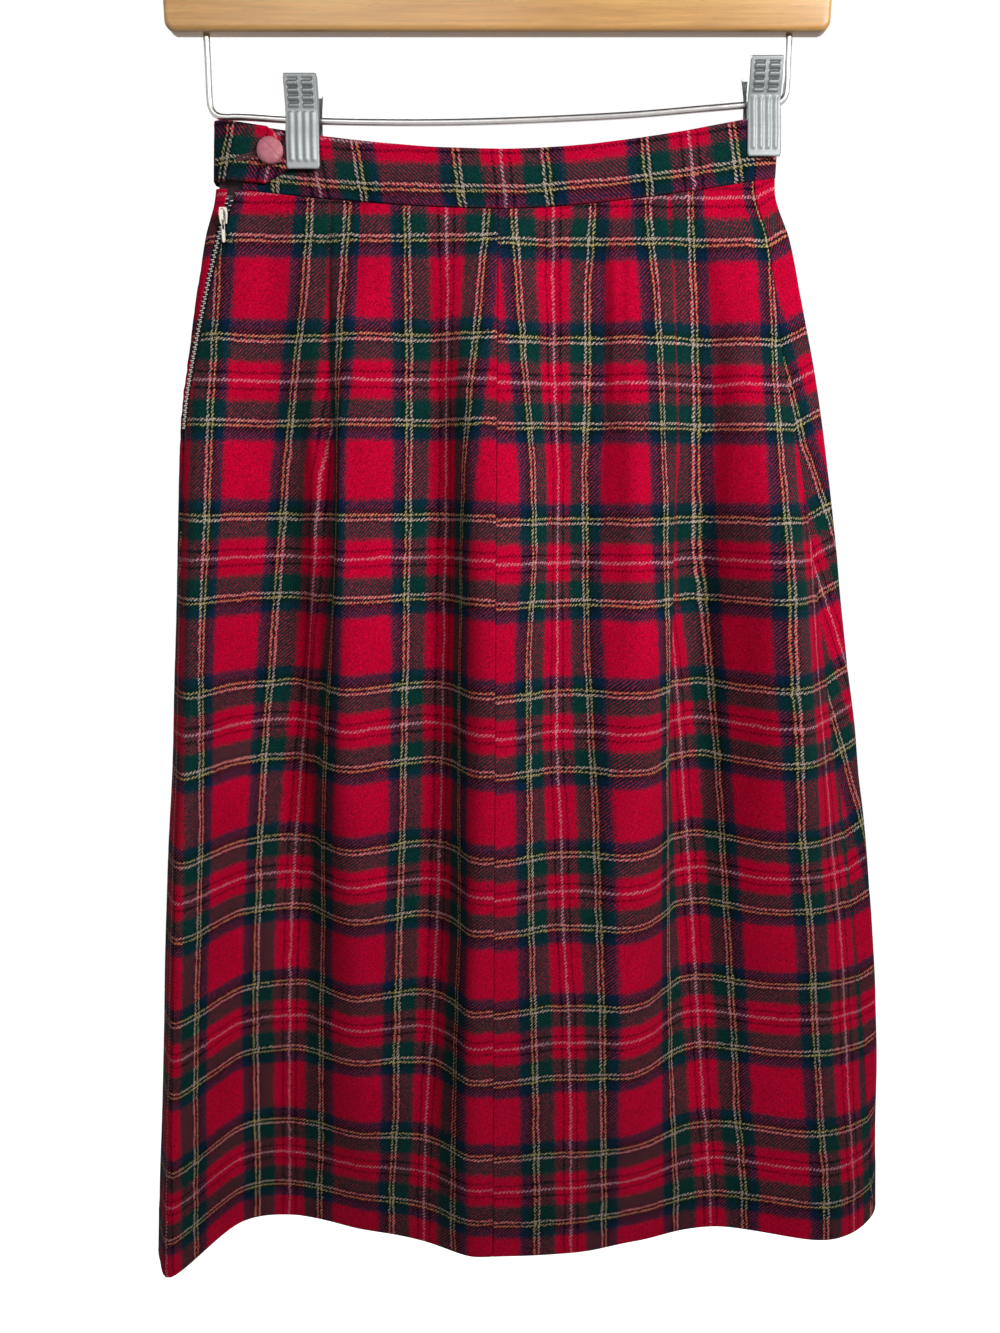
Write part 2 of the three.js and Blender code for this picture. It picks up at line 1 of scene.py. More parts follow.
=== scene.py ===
"""An a-line skirt of checked wool flannel on a clip hanger. Tables are in mm, meshes in metres."""
import math

import bpy
import numpy as np
from bpy.props import FloatProperty, FloatVectorProperty, IntProperty, PointerProperty
from bpy.types import Operator, Panel, PropertyGroup
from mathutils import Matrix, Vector


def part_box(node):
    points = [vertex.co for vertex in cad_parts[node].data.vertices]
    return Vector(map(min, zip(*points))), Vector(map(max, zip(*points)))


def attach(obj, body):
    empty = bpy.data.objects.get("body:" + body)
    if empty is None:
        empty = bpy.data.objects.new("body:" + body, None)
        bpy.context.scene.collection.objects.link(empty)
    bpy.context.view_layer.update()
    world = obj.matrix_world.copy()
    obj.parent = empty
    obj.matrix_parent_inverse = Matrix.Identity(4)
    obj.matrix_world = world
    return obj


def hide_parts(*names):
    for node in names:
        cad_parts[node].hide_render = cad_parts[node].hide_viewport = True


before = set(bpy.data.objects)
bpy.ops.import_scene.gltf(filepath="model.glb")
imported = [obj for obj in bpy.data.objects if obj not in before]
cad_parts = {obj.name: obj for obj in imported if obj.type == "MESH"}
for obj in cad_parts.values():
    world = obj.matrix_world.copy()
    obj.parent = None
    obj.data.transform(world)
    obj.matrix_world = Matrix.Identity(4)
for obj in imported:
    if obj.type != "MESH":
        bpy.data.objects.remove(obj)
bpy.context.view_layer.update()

bl_info = {
    "name": "A-line skirt on a clip hanger",
    "version": (1, 0, 0),
    "blender": (4, 5, 0),
    "location": "3D View > Sidebar > Skirt",
    "description": "Builds a checked wool skirt that hangs from a wooden clip hanger",
    "category": "Add Mesh",
}

MM = 0.001

# The skirt's sizes
WAIST_Z = -209.0  # centre front of the waist seam
SKIRT_LENGTH = 672.0
HEM_Z = WAIST_Z - SKIRT_LENGTH
HALF_WAIST = 165.0
CLOTH = 1.6
HEM_CLOTH = 2.8
HEM_TURN = 38.0
BAND_CLOTH = 2.4
BAND_HEIGHT = 32.5
SEAM_GAP = 0.3
SEAM_RISE = {"left": 12, "right": 18, "power": 1.5}
BAND_RISE = {"left": 16, "right": 21, "power": 1.7}
PATTERN_ZERO = WAIST_Z - 16  # height of the check's first pair of thin lines

# The outline seen from the front: height down from the waist seam, left and right
SIDES = (
    (-54, -163, 160),
    (-12, -166, 160.5),
    (16, -173.5, 171),
    (66, -184, 184.5),
    (121, -193, 198),
    (226, -199, 219),
    (331, -206, 238),
    (436, -215, 254),
    (540, -223, 266),
    (SKIRT_LENGTH, -234, 273),
)

# One row for each crest or trough round the skirt, from the left seam across the front.
# x at waist, hip and hem is measured from the left outline, the centre or the right outline,
# then y at waist, hip, thigh, knee and hem. The viewer is on the -y side.
LEVELS = (-4, 126, 281, 491, SKIRT_LENGTH)
FOLDS = (
    ("left_seam", "left", 10, 4, 5, -4, -12, -30, -42, -46),
    ("left_nose", "left", 22, 17, 15, -5, -18, -44, -56, -60),
    ("left_foot", "left", 40, 40, 52, -5, -7, -13, -11, -10),
    ("left_trough", "centre", -118, -126, -150, -5, -4, -6, -4, -4),
    ("left_crest", "centre", -90, -92, -98, -5, -20, -31, -21, -17),
    ("inner_trough", "centre", -40, -42, -54, -5, -10, -14, -16, -28),
    ("centre_crest", "centre", -18, -18, -20, -6, -28, -38, -42, -42),
    ("centre_seam", "centre", -1, -2, -5, -6, -30, -44, -41, -42),
    ("right_trough", "centre", 40, 43, 55, -5, -16, -24, -32, -38),
    ("right_crest", "centre", 88, 88, 95, -5, -24, -32, -28, -28),
    ("right_foot", "centre", 112, 119, 150, -5, -4, 2, 7, -15),
    ("right_bulge", "right", -44, -44, -42, -5, -12, -14, -2, -27),
    ("right_seam", "right", -13, -20, -8, -4, -2, 6, 8, -6),
    ("right_edge", "right", 0, 0, 0, 0, 4, 15, 12, 12),
    ("back_right_turn", "right", -12, -13, -14, 4.5, 12, 28, 30, 34),
    ("back_right_crest", "centre", 118, 130, 175, 5, 20, 36, 46, 56),
    ("back_right_trough", "centre", 75, 80, 105, 5, 12, 18, 24, 30),
    ("back_mid_crest", "centre", 28, 32, 45, 5, 18, 34, 42, 50),
    ("back_mid_trough", "centre", -20, -20, -20, 5, 12, 18, 20, 26),
    ("back_left_crest", "centre", -70, -75, -95, 5, 20, 36, 44, 52),
    ("back_left_trough", "centre", -110, -118, -150, 5, 12, 16, 18, 22),
    ("back_left_flank", "left", 30, 30, 34, 5, 12, 14, 12, 10),
    ("back_left_turn", "left", 9, 9, 9, 4.5, 4, -4, -12, -14),
    ("left_edge", "left", 0, 0, 0, 0, -4, -18, -28, -32),
)
LINE = {fold[0]: i for i, fold in enumerate(FOLDS)}
ROUND = len(FOLDS)

# The back's darts: x, cloth taken in at the top, length. Then the half width and the depth of the
# soft fold below each.
BACK_DARTS = (
    (84, 20, 120),
    (-84, 20, 120),
)
BACK_FOLD = (6, 1.2)

# Soft creases: side, x at the top, x at the bottom, top and bottom (down from the waist seam),
# half width, depth (a ridge is more than 0, a trough less)
CREASES = (
    ("front", -79, -84, 48, 170, 7, 1.6),
    ("front", -101, -112, 90, 300, 6, -1.8),
    ("front", -92, -100, 95, 260, 6, 1.3),
    ("front", -133, -140, 6, 120, 8, -1.2),
    ("front", -58, -60, 2, 95, 6, -1),
    ("front", -46, -50, 4, 140, 5.5, 0.9),
    ("front", -21, -17, 2, 90, 5, -0.9),
    ("front", 26, 34, 2, 190, 4.5, -1.5),
    ("front", 36, 44, 8, 170, 5, 1.1),
    ("front", 55, 60, 4, 120, 5.5, -0.8),
    ("front", 74, 80, 95, 230, 6, 1.6),
    ("front", 86, 92, 120, 330, 5, -1.3),
    ("front", 97, 108, 135, 300, 6, 1.5),
    ("front", 118, 132, 6, 150, 7, -1.2),
    ("front", 140, 150, 2, 110, 6, 0.9),
    ("front", -102, -106, -6, 330, 7, -3.6),
    ("front", -33, -38, 120, 620, 12, -5),
    ("front", -12, -12, 140, 620, 9, 1.6),
    ("front", 57, 61, 0, 220, 5.5, -3.4),
    ("front", 126, 136, 60, 520, 11, -4.6),
    ("front", 106, 112, 90, 360, 6, 1.2),
    ("front", -140, -150, 60, 300, 10, -1.5),
    ("front", 172, 184, 120, 650, 24, 8),
    ("front", 118, 126, 120, 650, 17, -6),
    ("front", 72, 80, 250, 650, 15, 2.6),
    ("front", 30, 34, 250, 650, 13, -3.4),
    ("front", -90, -97, 180, 620, 13, 4),
    ("front", -126, -134, 180, 620, 14, -4.5),
    ("front", -66, -74, 300, 560, 8, 0.9),
    ("front", 60, 66, 360, 640, 9, -0.9),
    ("front", -20, -26, 420, 668, 7, 0.8),
    ("front", -172, -182, 420, 640, 7, -1),
    ("back", -84, -96, 100, 300, 7, 1.5),
    ("back", 84, 96, 100, 280, 7, 1.6),
    ("back", -60, -68, 4, 160, 6, -1),
    ("back", -30, -34, 2, 120, 5.5, 0.8),
    ("back", 12, 16, 4, 180, 6, -1.1),
    ("back", 52, 62, 2, 130, 6, -0.9),
    ("back", 120, 140, 6, 170, 7, -1.2),
    ("back", -130, -150, 10, 210, 7, 1),
    ("back", 30, 36, 330, 600, 9, 1),
    ("back", -110, -128, 340, 640, 9, -1),
)

# The button from the middle of its back round its edge to the middle of its dome, in shares of its
# radius and its height
BUTTON_PROFILE = ((0, 0), (0.82, 0), (0.97, 0.16), (1, 0.4), (0.93, 0.66), (0.72, 0.85), (0.4, 0.96),
                  (0, 1))
DIMPLE = {"from": 0.12, "line": 0.5, "half": 0.1, "fall": 1.2}  # the crease in the satin
GATHERS = {"count": 18, "depth": 0.1}
BUTTONHOLE_STITCHES = 34  # along each side

# Side zip, down from the waist seam
ZIP_TOP = -9.0
ZIP_END = 152.0
ZIP_TAPER = 24.0
ZIP_OPENING = 5.4
CHAIN_THICK = 2.4
TAPE_WIDTH = 13.0
TAPE_THICK = 0.8
TAPE_OUT = -CLOTH - SEAM_GAP - 0.1
CHAIN_OUT = TAPE_OUT + SEAM_GAP + CHAIN_THICK
TOOTH_SIDES = 8
# A tooth from its tail to its head: place along it, half its height in pitches, half its depth
TOOTH_RINGS = (
    (-0.62, 0.30, 0.55),
    (-0.55, 0.46, 0.80),
    (-0.2, 0.40, 0.9),
    (0.15, 0.48, 1.0),
    (0.52, 0.44, 0.95),
    (0.60, 0.26, 0.7),
)
PULL_SHARE = 0.55  # how much of its cut width the pull shows

# The tape inside the waist seam, near black with painted shade for the shadowed gap under the tab:
# middle, half its length, lower and upper edge from the seam, and how far in it lies
STAY = {"x": -160.0, "half": 24, "low": -9, "high": 8, "outer": -3.1, "inner": -3.9}

# The tab's pointed end and the band under it
TAB_TIP = -112.0
TAB_SHOULDER = -135.0
TAB_LIFT = 4.2
TAB_TURN = (1.4, 0.35)
UNDER_END = 0.55

# Half of the check from the middle of the wide red to the middle of the white line:
# yarn and width at the weft's repeat
SETT = (
    ("red", 17.1),
    ("navy", 5.8),
    ("black", 2.8),
    ("yellow", 1.3),
    ("black", 1.65),
    ("white", 1.3),
    ("black", 1.05),
    ("green", 10.2),
    ("red", 5.6),
    ("guard", 1.8),
    ("red", 3.0),
    ("middle", 0.9),
)
# How far a thin line covers what it crosses
OVER = {"yellow": 0.95, "white": 0.95, "middle": 0.6, "guard": 1.0}
HALF_SETT = sum(width for _, width in SETT)
RED_BELOW_ZERO = 27.9  # the first wide red's middle lies this far below the first pair
WARP_REPEAT = 98.1
WEFT_REPEAT = 105.0
RIGHT_PANEL_DROP = 2.3  # the two fronts' checks don't quite meet
# The back's check meets the right front's at the side seam: how far along the drop fades, how
# steeply the check climbs there, and how far along it does
BACK_JOIN = {"drop": 40, "climb": 0.5, "reach": 45}
WEFT_SQUEEZE = 0.998
PAIR = RED_BELOW_ZERO / (2 * HALF_SETT)  # from the wide red's middle to a pair, in whole checks
BAND_FIRST = 17.3  # where the check starts at the band's lower edge
BAND_FIRST_RISE = 2.4  # how much higher it starts at the left
BAND_SQUEEZE = 0.97
BAND_RED_X = 55.9
TAB_WHITE_X = -132.0
BAND_LEAN = ((-130, -25, 60, 150), (0.17, 0.12, 0.12, 0.2))  # sideways for each unit of height, at x
TAB_SHIFT = 1.0
BAND_RIDGE = {"lift": 0.35, "at": 0.93, "half": 0.05}  # the folded upper edge, in shares of the height
BAND_UNEVEN = 0.25
BAND_ROWS = 26
BAND_COLUMN_STEP = 1.8
TAB_POINT = 0.94  # how far the tab narrows at its tip

# The camera stands where the picture was taken from
VIEW = {"distance": 613.0, "height": -359.0, "tilt": math.radians(11.25), "focal": 976.0,
        "middle": (500.0, 666.5)}

# Where the upright stripes of the front are seen in the picture, charted at these heights.
# A stripe has its place in whole checks from the middle red. A crease has its dart's length, the half
# width over which it swallows cloth below the dart, and the depth of its trough there.
CHART_ROWS = (215, 287, 380, 475, 560, 655, 745, 835, 930, 1010, 1110, 1190)
CHART = {
    "front_left": (
        ("stripe", -2 - PAIR, (220, 217, 212, 208, 205, 201, 202, 201, 199, 197, 196, 196)),
        ("stripe", -2 + PAIR, (310, 305, 294, 285, 279, 272, 265, 260, 257, 255, 257, 258)),
        ("stripe", -1.5, (348, 343, 332, 318, 314, 306, 299, 294, 290, 289, 289, 290)),
        ("crease", (108, 5, 2.6), (330, 327, 325, 326, 325, 320, 315, 310, 306, 305, 305, 305)),
        ("stripe", -1 - PAIR, (347, 342, 336, 335, 334, 330, 327, 322, 321, 320, 321, 320)),
        ("crease", (80, 18, 0.4), (360, 357, 354, 352, 352, 352, 352, 350, 350, 350, 350, 350)),
        ("stripe", -1 + PAIR, (407, 408, 409, 409, 407, 406, 404, 402, 399, 397, 396, 392)),
        ("stripe", -0.5, (446, 448, 446, 444, 441, 439, 438, 436, 434, 432, 426, 424)),
        ("stripe", -PAIR, (487, 480, 470, 462, 457, 456, 455, 454, 454, 453, 453, 453)),
    ),
    "front_right": (
        ("stripe", PAIR, (514, 519, 526, 534, 535, 529, 530, 531, 532, 534, 536, 537)),
        ("stripe", 0.5, (553, 553, 555, 559, 557, 558, 558, 562, 564, 569, 571, 571)),
        ("stripe", 1 - PAIR, (593, 588, 587, 584, 585, 587, 592, 596, 599, 602, 603, 604)),
        ("crease", (108, 18, 0.4), (624, 622, 620, 618, 618, 620, 624, 626, 628, 630, 632, 634)),
        ("stripe", 1 + PAIR, (648, 656, 662, 664, 665, 669, 672, 674, 674, 674, 674, 676)),
        ("crease", (148, 5, 2.4), (668, 676, 679, 681, 680, 680, 680, 681, 682, 684, 686, 688)),
        ("stripe", 1.5, (653, 656, 660, 664, 672, 684, 689, 693, 697, 699, 704, 710)),
        ("stripe", 2 - PAIR, (691, 694, 697, 699, 702, 709, 716, 722, 727, 732, 737, 744)),
        ("stripe", 2 + PAIR, (770, 772, 775, 779, 784, 789, 797, 801, 810, 814, 820, 826)),
    ),
}

# Hanger
WIRE = 1.9
BAR = {"left": -189, "right": 186, "bottom": -115.5, "end": 32, "middle": 48, "thick": 12, "corner": 6}
BAR_CROWN = {"flat": 60, "shoulder": 90}
HOOK = {"x": -1.5, "radius": 22, "shank": 14, "bend": 6, "rise": 10, "start": -42, "end": 196}
RAIL = {"left": -166.5, "right": 164, "bend": 7, "leg": 14}
RAIL_POINTS = ((-150, -158.4), (-112, -160.4), (-30, -161.2), (70, -157.6), (120, -153.8), (150, -151.6))
CLIPS = (
    {"name": "left", "x": -112.7, "tip": -188.5, "top": -139.5, "jaw": 8.7, "turn": 0.0},
    {"name": "right", "x": 150.4, "tip": -181, "top": -130.5, "jaw": 5.9, "turn": -0.04},
)
CLIP = {"width": 19.4, "plate": 1.2, "back": 6.3, "jaw_height": 14, "lean": 1.5, "lever": 12,
        "bow": 0.6, "back_drop": 5, "spring": 4.2, "coil": 11, "spring_wire": 0.62}
# The turned-back sides of a plate, which start at this share of its half width, and its corners
FLANGE = {"low": 0.2, "more": 2.6, "from": 0.93}
CORNER = 1.6
# The pressed pattern: "end", "first" and "pitch" of the louvres are shares of the plate's length
FLUTES = {"half": 8.4, "pitch": 4.2, "start": (3.2, 5.0), "end": 0.6}
LOUVRES = {"first": 0.655, "pitch": 0.075, "count": 4, "column": 4.1, "side": (2.5, 3.2),
           "bar": 0.66, "slot": -0.75}


# Curves and surfaces

def through(places, values, at):
    """A smooth curve through a table's values that never overshoots them."""
    places, values = np.asarray(places, float), np.asarray(values, float)
    at = np.clip(at, places[0], places[-1])
    widths = np.diff(places)
    rises = np.diff(values) / widths
    slopes = np.zeros_like(values)
    slopes[0], slopes[-1] = rises[0], rises[-1]
    for i in range(1, len(values) - 1):
        before, after = rises[i - 1], rises[i]
        if before * after > 0:
            w1, w2 = 2 * widths[i] + widths[i - 1], widths[i] + 2 * widths[i - 1]
            slopes[i] = (w1 + w2) / (w1 / before + w2 / after)
    i = np.clip(np.searchsorted(places, at) - 1, 0, len(widths) - 1)
    w = widths[i]
    t = (at - places[i]) / w
    start = values[i] * (1 + 2 * t) * (1 - t) ** 2 + w * slopes[i] * t * (1 - t) ** 2
    end = values[i + 1] * t * t * (3 - 2 * t) + w * slopes[i + 1] * t * t * (t - 1)
    return start + end


def curve_slopes(p0, p1, p2, p3):
    """The slopes at p1 and p2 of a centripetal curve through four points."""
    d0, d1, d2 = (np.linalg.norm(b - a, axis=-1, keepdims=True) ** 0.5
                  for a, b in ((p0, p1), (p1, p2), (p2, p3)))
    t1 = ((p1 - p0) / d0 - (p2 - p0) / (d0 + d1) + (p2 - p1) / d1) * d1
    t2 = ((p2 - p1) / d1 - (p3 - p1) / (d1 + d2) + (p3 - p2) / d2) * d1
    return t1, t2


def curve_at(a, b, c, d, t):
    """A point of the curve from a to b whose slopes there are c and d."""
    return a + c * t + (-3 * a + 3 * b - 2 * c - d) * t**2 + (2 * a - 2 * b + c + d) * t**3


def smoothstep(x, low, high):
    t = np.clip((x - low) / (high - low), 0, 1)
    return t * t * (3 - 2 * t)


def bell(x, half):
    """1 where x is 0, and next to nothing twice the half width away."""
    return np.exp(-((x / half) ** 2))


def sagged(x, centre, rise):
    side = np.where(x < 0, rise["left"], rise["right"])
    return centre + side * (np.abs(x) / HALF_WAIST) ** rise["power"]


def seam_z(x):
    return sagged(x, WAIST_Z, SEAM_RISE)


def band_top_z(x):
    return sagged(x, WAIST_Z + BAND_HEIGHT, BAND_RISE)


def outline(z, side):
    down = [row[0] for row in SIDES]
    return through(down, [row[1 if side == "left" else 2] for row in SIDES], WAIST_Z - z)


class Cloth:
    """The closed curve round the outside of the cloth, at many heights. s is the distance along it
    from the centre seam, more than 0 to the right, and on round the back."""

    STEPS = 24

    def __init__(self, heights):
        self.heights = np.asarray(heights, float)
        down = WAIST_Z - self.heights
        base = {"left": outline(self.heights, "left"), "centre": 0.0,
                "right": outline(self.heights, "right")}
        points = np.empty((len(down), ROUND, 2))
        for i, (_, start, *row) in enumerate(FOLDS):
            points[:, i, 0] = base[start] + through((LEVELS[0], LEVELS[1], LEVELS[4]), row[:3], down)
            points[:, i, 1] = through(LEVELS, row[3:], down)
        p0, p1 = np.roll(points, 1, 1), points
        p2, p3 = np.roll(points, -1, 1), np.roll(points, -2, 1)
        ends = (p1, p2, *curve_slopes(p0, p1, p2, p3))
        t = (np.arange(self.STEPS) / self.STEPS)[None, None, :, None]
        curve = curve_at(*(v[:, :, None, :] for v in ends), t).reshape(len(down), -1, 2)
        # One and a half turns, so that the tab can go on past the left seam
        turn = curve.shape[1]
        self.curve = np.concatenate([curve, curve[:, : turn // 2]], axis=1)
        self.place = np.arange(self.curve.shape[1]) / self.STEPS
        lengths = np.linalg.norm(np.diff(self.curve, axis=1), axis=2)
        self.s = np.concatenate([np.zeros((len(down), 1)), np.cumsum(lengths, axis=1)], axis=1)
        self.s -= self.s[:, [LINE["centre_seam"] * self.STEPS]]

    def s_at(self, place):
        """The distance s of a fold-line place, at each height."""
        return np.array([np.interp(place, self.place, row) for row in self.s])

    def s_on_back(self, x):
        """The distance s where the back passes x, at each height. x is one value or one for each."""
        part = slice(LINE["right_edge"] * self.STEPS, (ROUND - 1) * self.STEPS + 1)
        return np.array([np.interp(want, curve[part, 0][::-1], s[part][::-1]) for want, curve, s in zip(
            np.broadcast_to(x, self.heights.shape), self.curve, self.s)])

    def points(self, s):
        """x, y, the outward direction and the fold-line place for an array s of (columns, heights)."""
        out = np.empty(s.shape + (5,))
        for i in range(len(self.heights)):
            along, curve = self.s[i], self.curve[i]
            tangent = np.gradient(curve, axis=0)
            tangent /= np.linalg.norm(tangent, axis=1, keepdims=True)
            for j, values in enumerate((curve[:, 0], curve[:, 1], tangent[:, 1], -tangent[:, 0],
                                        self.place)):
                out[:, i, j] = np.interp(s[:, i], along, values)
        return out


def regrid(heights, values, z):
    """Values on (columns, heights) read at the heights z of (columns, rows)."""
    out = np.empty(z.shape + values.shape[2:])
    for c in range(z.shape[0]):
        for j in range(values.shape[2]):
            out[c, :, j] = np.interp(z[c], heights, values[c, :, j])
    return out


def rounding(distance, thick):
    """How far both faces draw in beside an edge that is rounded over the cloth's thickness."""
    r = thick / 2
    d = np.clip(distance, 0, r)
    return r - np.sqrt(np.maximum(0, r * r - (r - d) ** 2))


def seen(x, y, z):
    """Where a point is seen in the picture, in pixels across and down."""
    ahead, up = y + VIEW["distance"], z - VIEW["height"]
    cos, sin = math.cos(VIEW["tilt"]), math.sin(VIEW["tilt"])
    scale = VIEW["focal"] / (ahead * cos - up * sin)
    return VIEW["middle"][0] + scale * x, VIEW["middle"][1] - scale * (up * cos + ahead * sin)


def ripple(x, z, seed):
    """Small soft unevenness of the cloth, from -1 to 1."""
    phase = 1.7 * seed
    waves = ((0.031, 0.011, 0.0), (0.047, -0.019, 1.3), (0.023, 0.027, 2.1), (0.081, 0.008, 4.2),
             (0.062, -0.043, 5.5))
    total = sum(np.sin(a * x * 2 + b * z * 2 + p + phase) for a, b, p in waves)
    return total / len(waves)


# Meshes

def make_object(name, vertices, faces, material, corners=None, body="skirt"):
    """A smooth mesh from points in millimetres. corners gives the weave place of each face corner."""
    mesh = bpy.data.meshes.new(name)
    mesh.from_pydata((np.asarray(vertices) * MM).tolist(), [], faces)
    if corners is not None:
        layer = mesh.uv_layers.new(name="weave")
        layer.data.foreach_set("uv", np.asarray(corners, np.float32).ravel())
    mesh.polygons.foreach_set("use_smooth", [True] * len(mesh.polygons))
    mesh.materials.append(material)
    mesh.update()
    thing = bpy.data.objects.new(name, mesh)
    bpy.context.scene.collection.objects.link(thing)
    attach(thing, body)
    return thing


def rim_of(columns, rows):
    """Which points of a grid lie on its rim."""
    rim = np.zeros((columns, rows), bool)
    rim[[0, -1], :] = True
    rim[:, [0, -1]] = True
    return rim


def meet_at_rim(outer, inner):
    """Brings two grids of points together halfway along their rims."""
    rim = rim_of(*outer.shape[:2])
    outer[rim] = (outer[rim] + inner[rim]) / 2
    inner[rim] = outer[rim]


def shell_faces(columns, rows):
    """Quads of a grid and of the one behind it, which share their rim points, and the points used."""
    index = np.arange(columns * rows).reshape(columns, rows)
    back = index + columns * rows
    rim = rim_of(columns, rows)
    back[rim] = index[rim]
    a, b = slice(None, -1), slice(1, None)
    front = np.stack([index[a, a], index[b, a], index[b, b], index[a, b]], -1).reshape(-1, 4)
    behind = np.stack([back[a, a], back[a, b], back[b, b], back[b, a]], -1).reshape(-1, 4)
    faces = np.concatenate([front, behind])
    used = np.zeros(2 * columns * rows, bool)
    used[faces.ravel()] = True
    return (np.cumsum(used) - 1)[faces], used


def shell(name, outer, inner, before, after, material):
    """A closed cloth shell. outer and inner are (columns, rows, 3) and share their rim points.
    before and after are the weave places (columns, rows, 2) seen from the faces on each side."""
    faces, used = shell_faces(*outer.shape[:2])
    vertices = np.concatenate([outer.reshape(-1, 3), inner.reshape(-1, 3)])
    a, b = slice(None, -1), slice(1, None)
    uv_front = np.stack([after[a, a], before[b, a], before[b, b], after[a, b]], 2).reshape(-1, 4, 2)
    uv_behind = np.stack([after[a, a], after[a, b], before[b, b], before[b, a]], 2).reshape(-1, 4, 2)
    corners = np.concatenate([uv_front, uv_behind]).reshape(-1, 2)
    return make_object(name, vertices[used], faces.tolist(), material, corners)


def round_faces(columns, rows):
    """Quads of a grid that closes on itself, whose points run row by row within each column."""
    faces = []
    for c in range(columns):
        for r in range(rows - 1):
            a, b = c * rows, (c + 1) % columns * rows
            faces.append((a + r, b + r, b + r + 1, a + r + 1))
    return faces


def ring_faces(rings, sides):
    """Quads between rings of points that follow each other, and a cap at each end."""
    faces = []
    for i in range(rings - 1):
        for j in range(sides):
            k = (j + 1) % sides
            faces.append((i * sides + j, i * sides + k, (i + 1) * sides + k, (i + 1) * sides + j))
    faces.append(tuple(range(sides))[::-1])
    faces.append(tuple((rings - 1) * sides + j for j in range(sides)))
    return faces


def tube(points, radius, sides):
    """A round bar along points: its vertices and faces. radius is one value or one for each point."""
    points = np.asarray(points, float)
    radius = np.broadcast_to(radius, len(points))
    ahead = np.gradient(points, axis=0)
    ahead /= np.linalg.norm(ahead, axis=1, keepdims=True)
    across = np.cross(ahead[0], (0.3, 1, 0.1))
    vertices = []
    for point, direction, r in zip(points, ahead, radius):
        across = across - direction * np.dot(across, direction)
        across /= np.linalg.norm(across)
        up = np.cross(direction, across)
        angles = 2 * np.pi * np.arange(sides) / sides
        ring = point + r * (np.cos(angles)[:, None] * across + np.sin(angles)[:, None] * up)
        vertices.append(ring)
    return np.concatenate(vertices), ring_faces(len(points), sides)


def join_parts(parts):
    """Joins (vertices, faces) pairs into one."""
    vertices, faces, start = [], [], 0
    for points, polygons in parts:
        vertices.append(points)
        faces.extend(tuple(i + start for i in face) for face in polygons)
        start += len(points)
    return np.concatenate(vertices), faces


def smooth_path(points, step):
    """Points along a centripetal curve through a few given ones, step apart."""
    points = np.asarray(points, float)
    padded = np.vstack([2 * points[0] - points[1], points, 2 * points[-1] - points[-2]])
    out = []
    for i in range(1, len(padded) - 2):
        p0, p1, p2, p3 = padded[i - 1 : i + 3]
        slopes = curve_slopes(p0, p1, p2, p3)
        count = max(2, math.ceil(np.linalg.norm(p2 - p1) / step))
        out.extend(curve_at(p1, p2, *slopes, t) for t in np.arange(count) / count)
    out.append(points[-1])
    return np.array(out)


def arc(x, z, radius, start, end, count):
    angles = np.radians(np.linspace(start, end, count))
    return np.stack([x + radius * np.cos(angles), np.zeros(count), z + radius * np.sin(angles)], 1)


def slab(outline_xz, thick, edge, steps):
    """A flat plate drawn in X and Z with rounded edges, half of it on each side of y = 0."""
    outline_xz = np.asarray(outline_xz, float)
    ahead = np.roll(outline_xz, -1, 0) - np.roll(outline_xz, 1, 0)
    ahead /= np.linalg.norm(ahead, axis=1, keepdims=True)
    inward = np.stack([-ahead[:, 1], ahead[:, 0]], 1)
    area = np.sum(outline_xz[:, 0] * np.roll(outline_xz[:, 1], -1)
                  - outline_xz[:, 1] * np.roll(outline_xz[:, 0], -1))
    if area < 0:
        inward = -inward
    rings = []
    for side in (-1, 1):
        angles = np.linspace(0, np.pi / 2, steps + 1)
        if side == 1:
            angles = angles[::-1]
        for angle in angles:
            inset, depth = edge * (1 - np.sin(angle)), thick / 2 - edge * (1 - np.cos(angle))
            xz = outline_xz + inward * inset
            rings.append(np.stack([xz[:, 0], np.full(len(xz), side * depth), xz[:, 1]], 1))
    faces = ring_faces(len(rings), len(outline_xz))
    return np.concatenate(rings), faces if area > 0 else [face[::-1] for face in faces]


# Materials

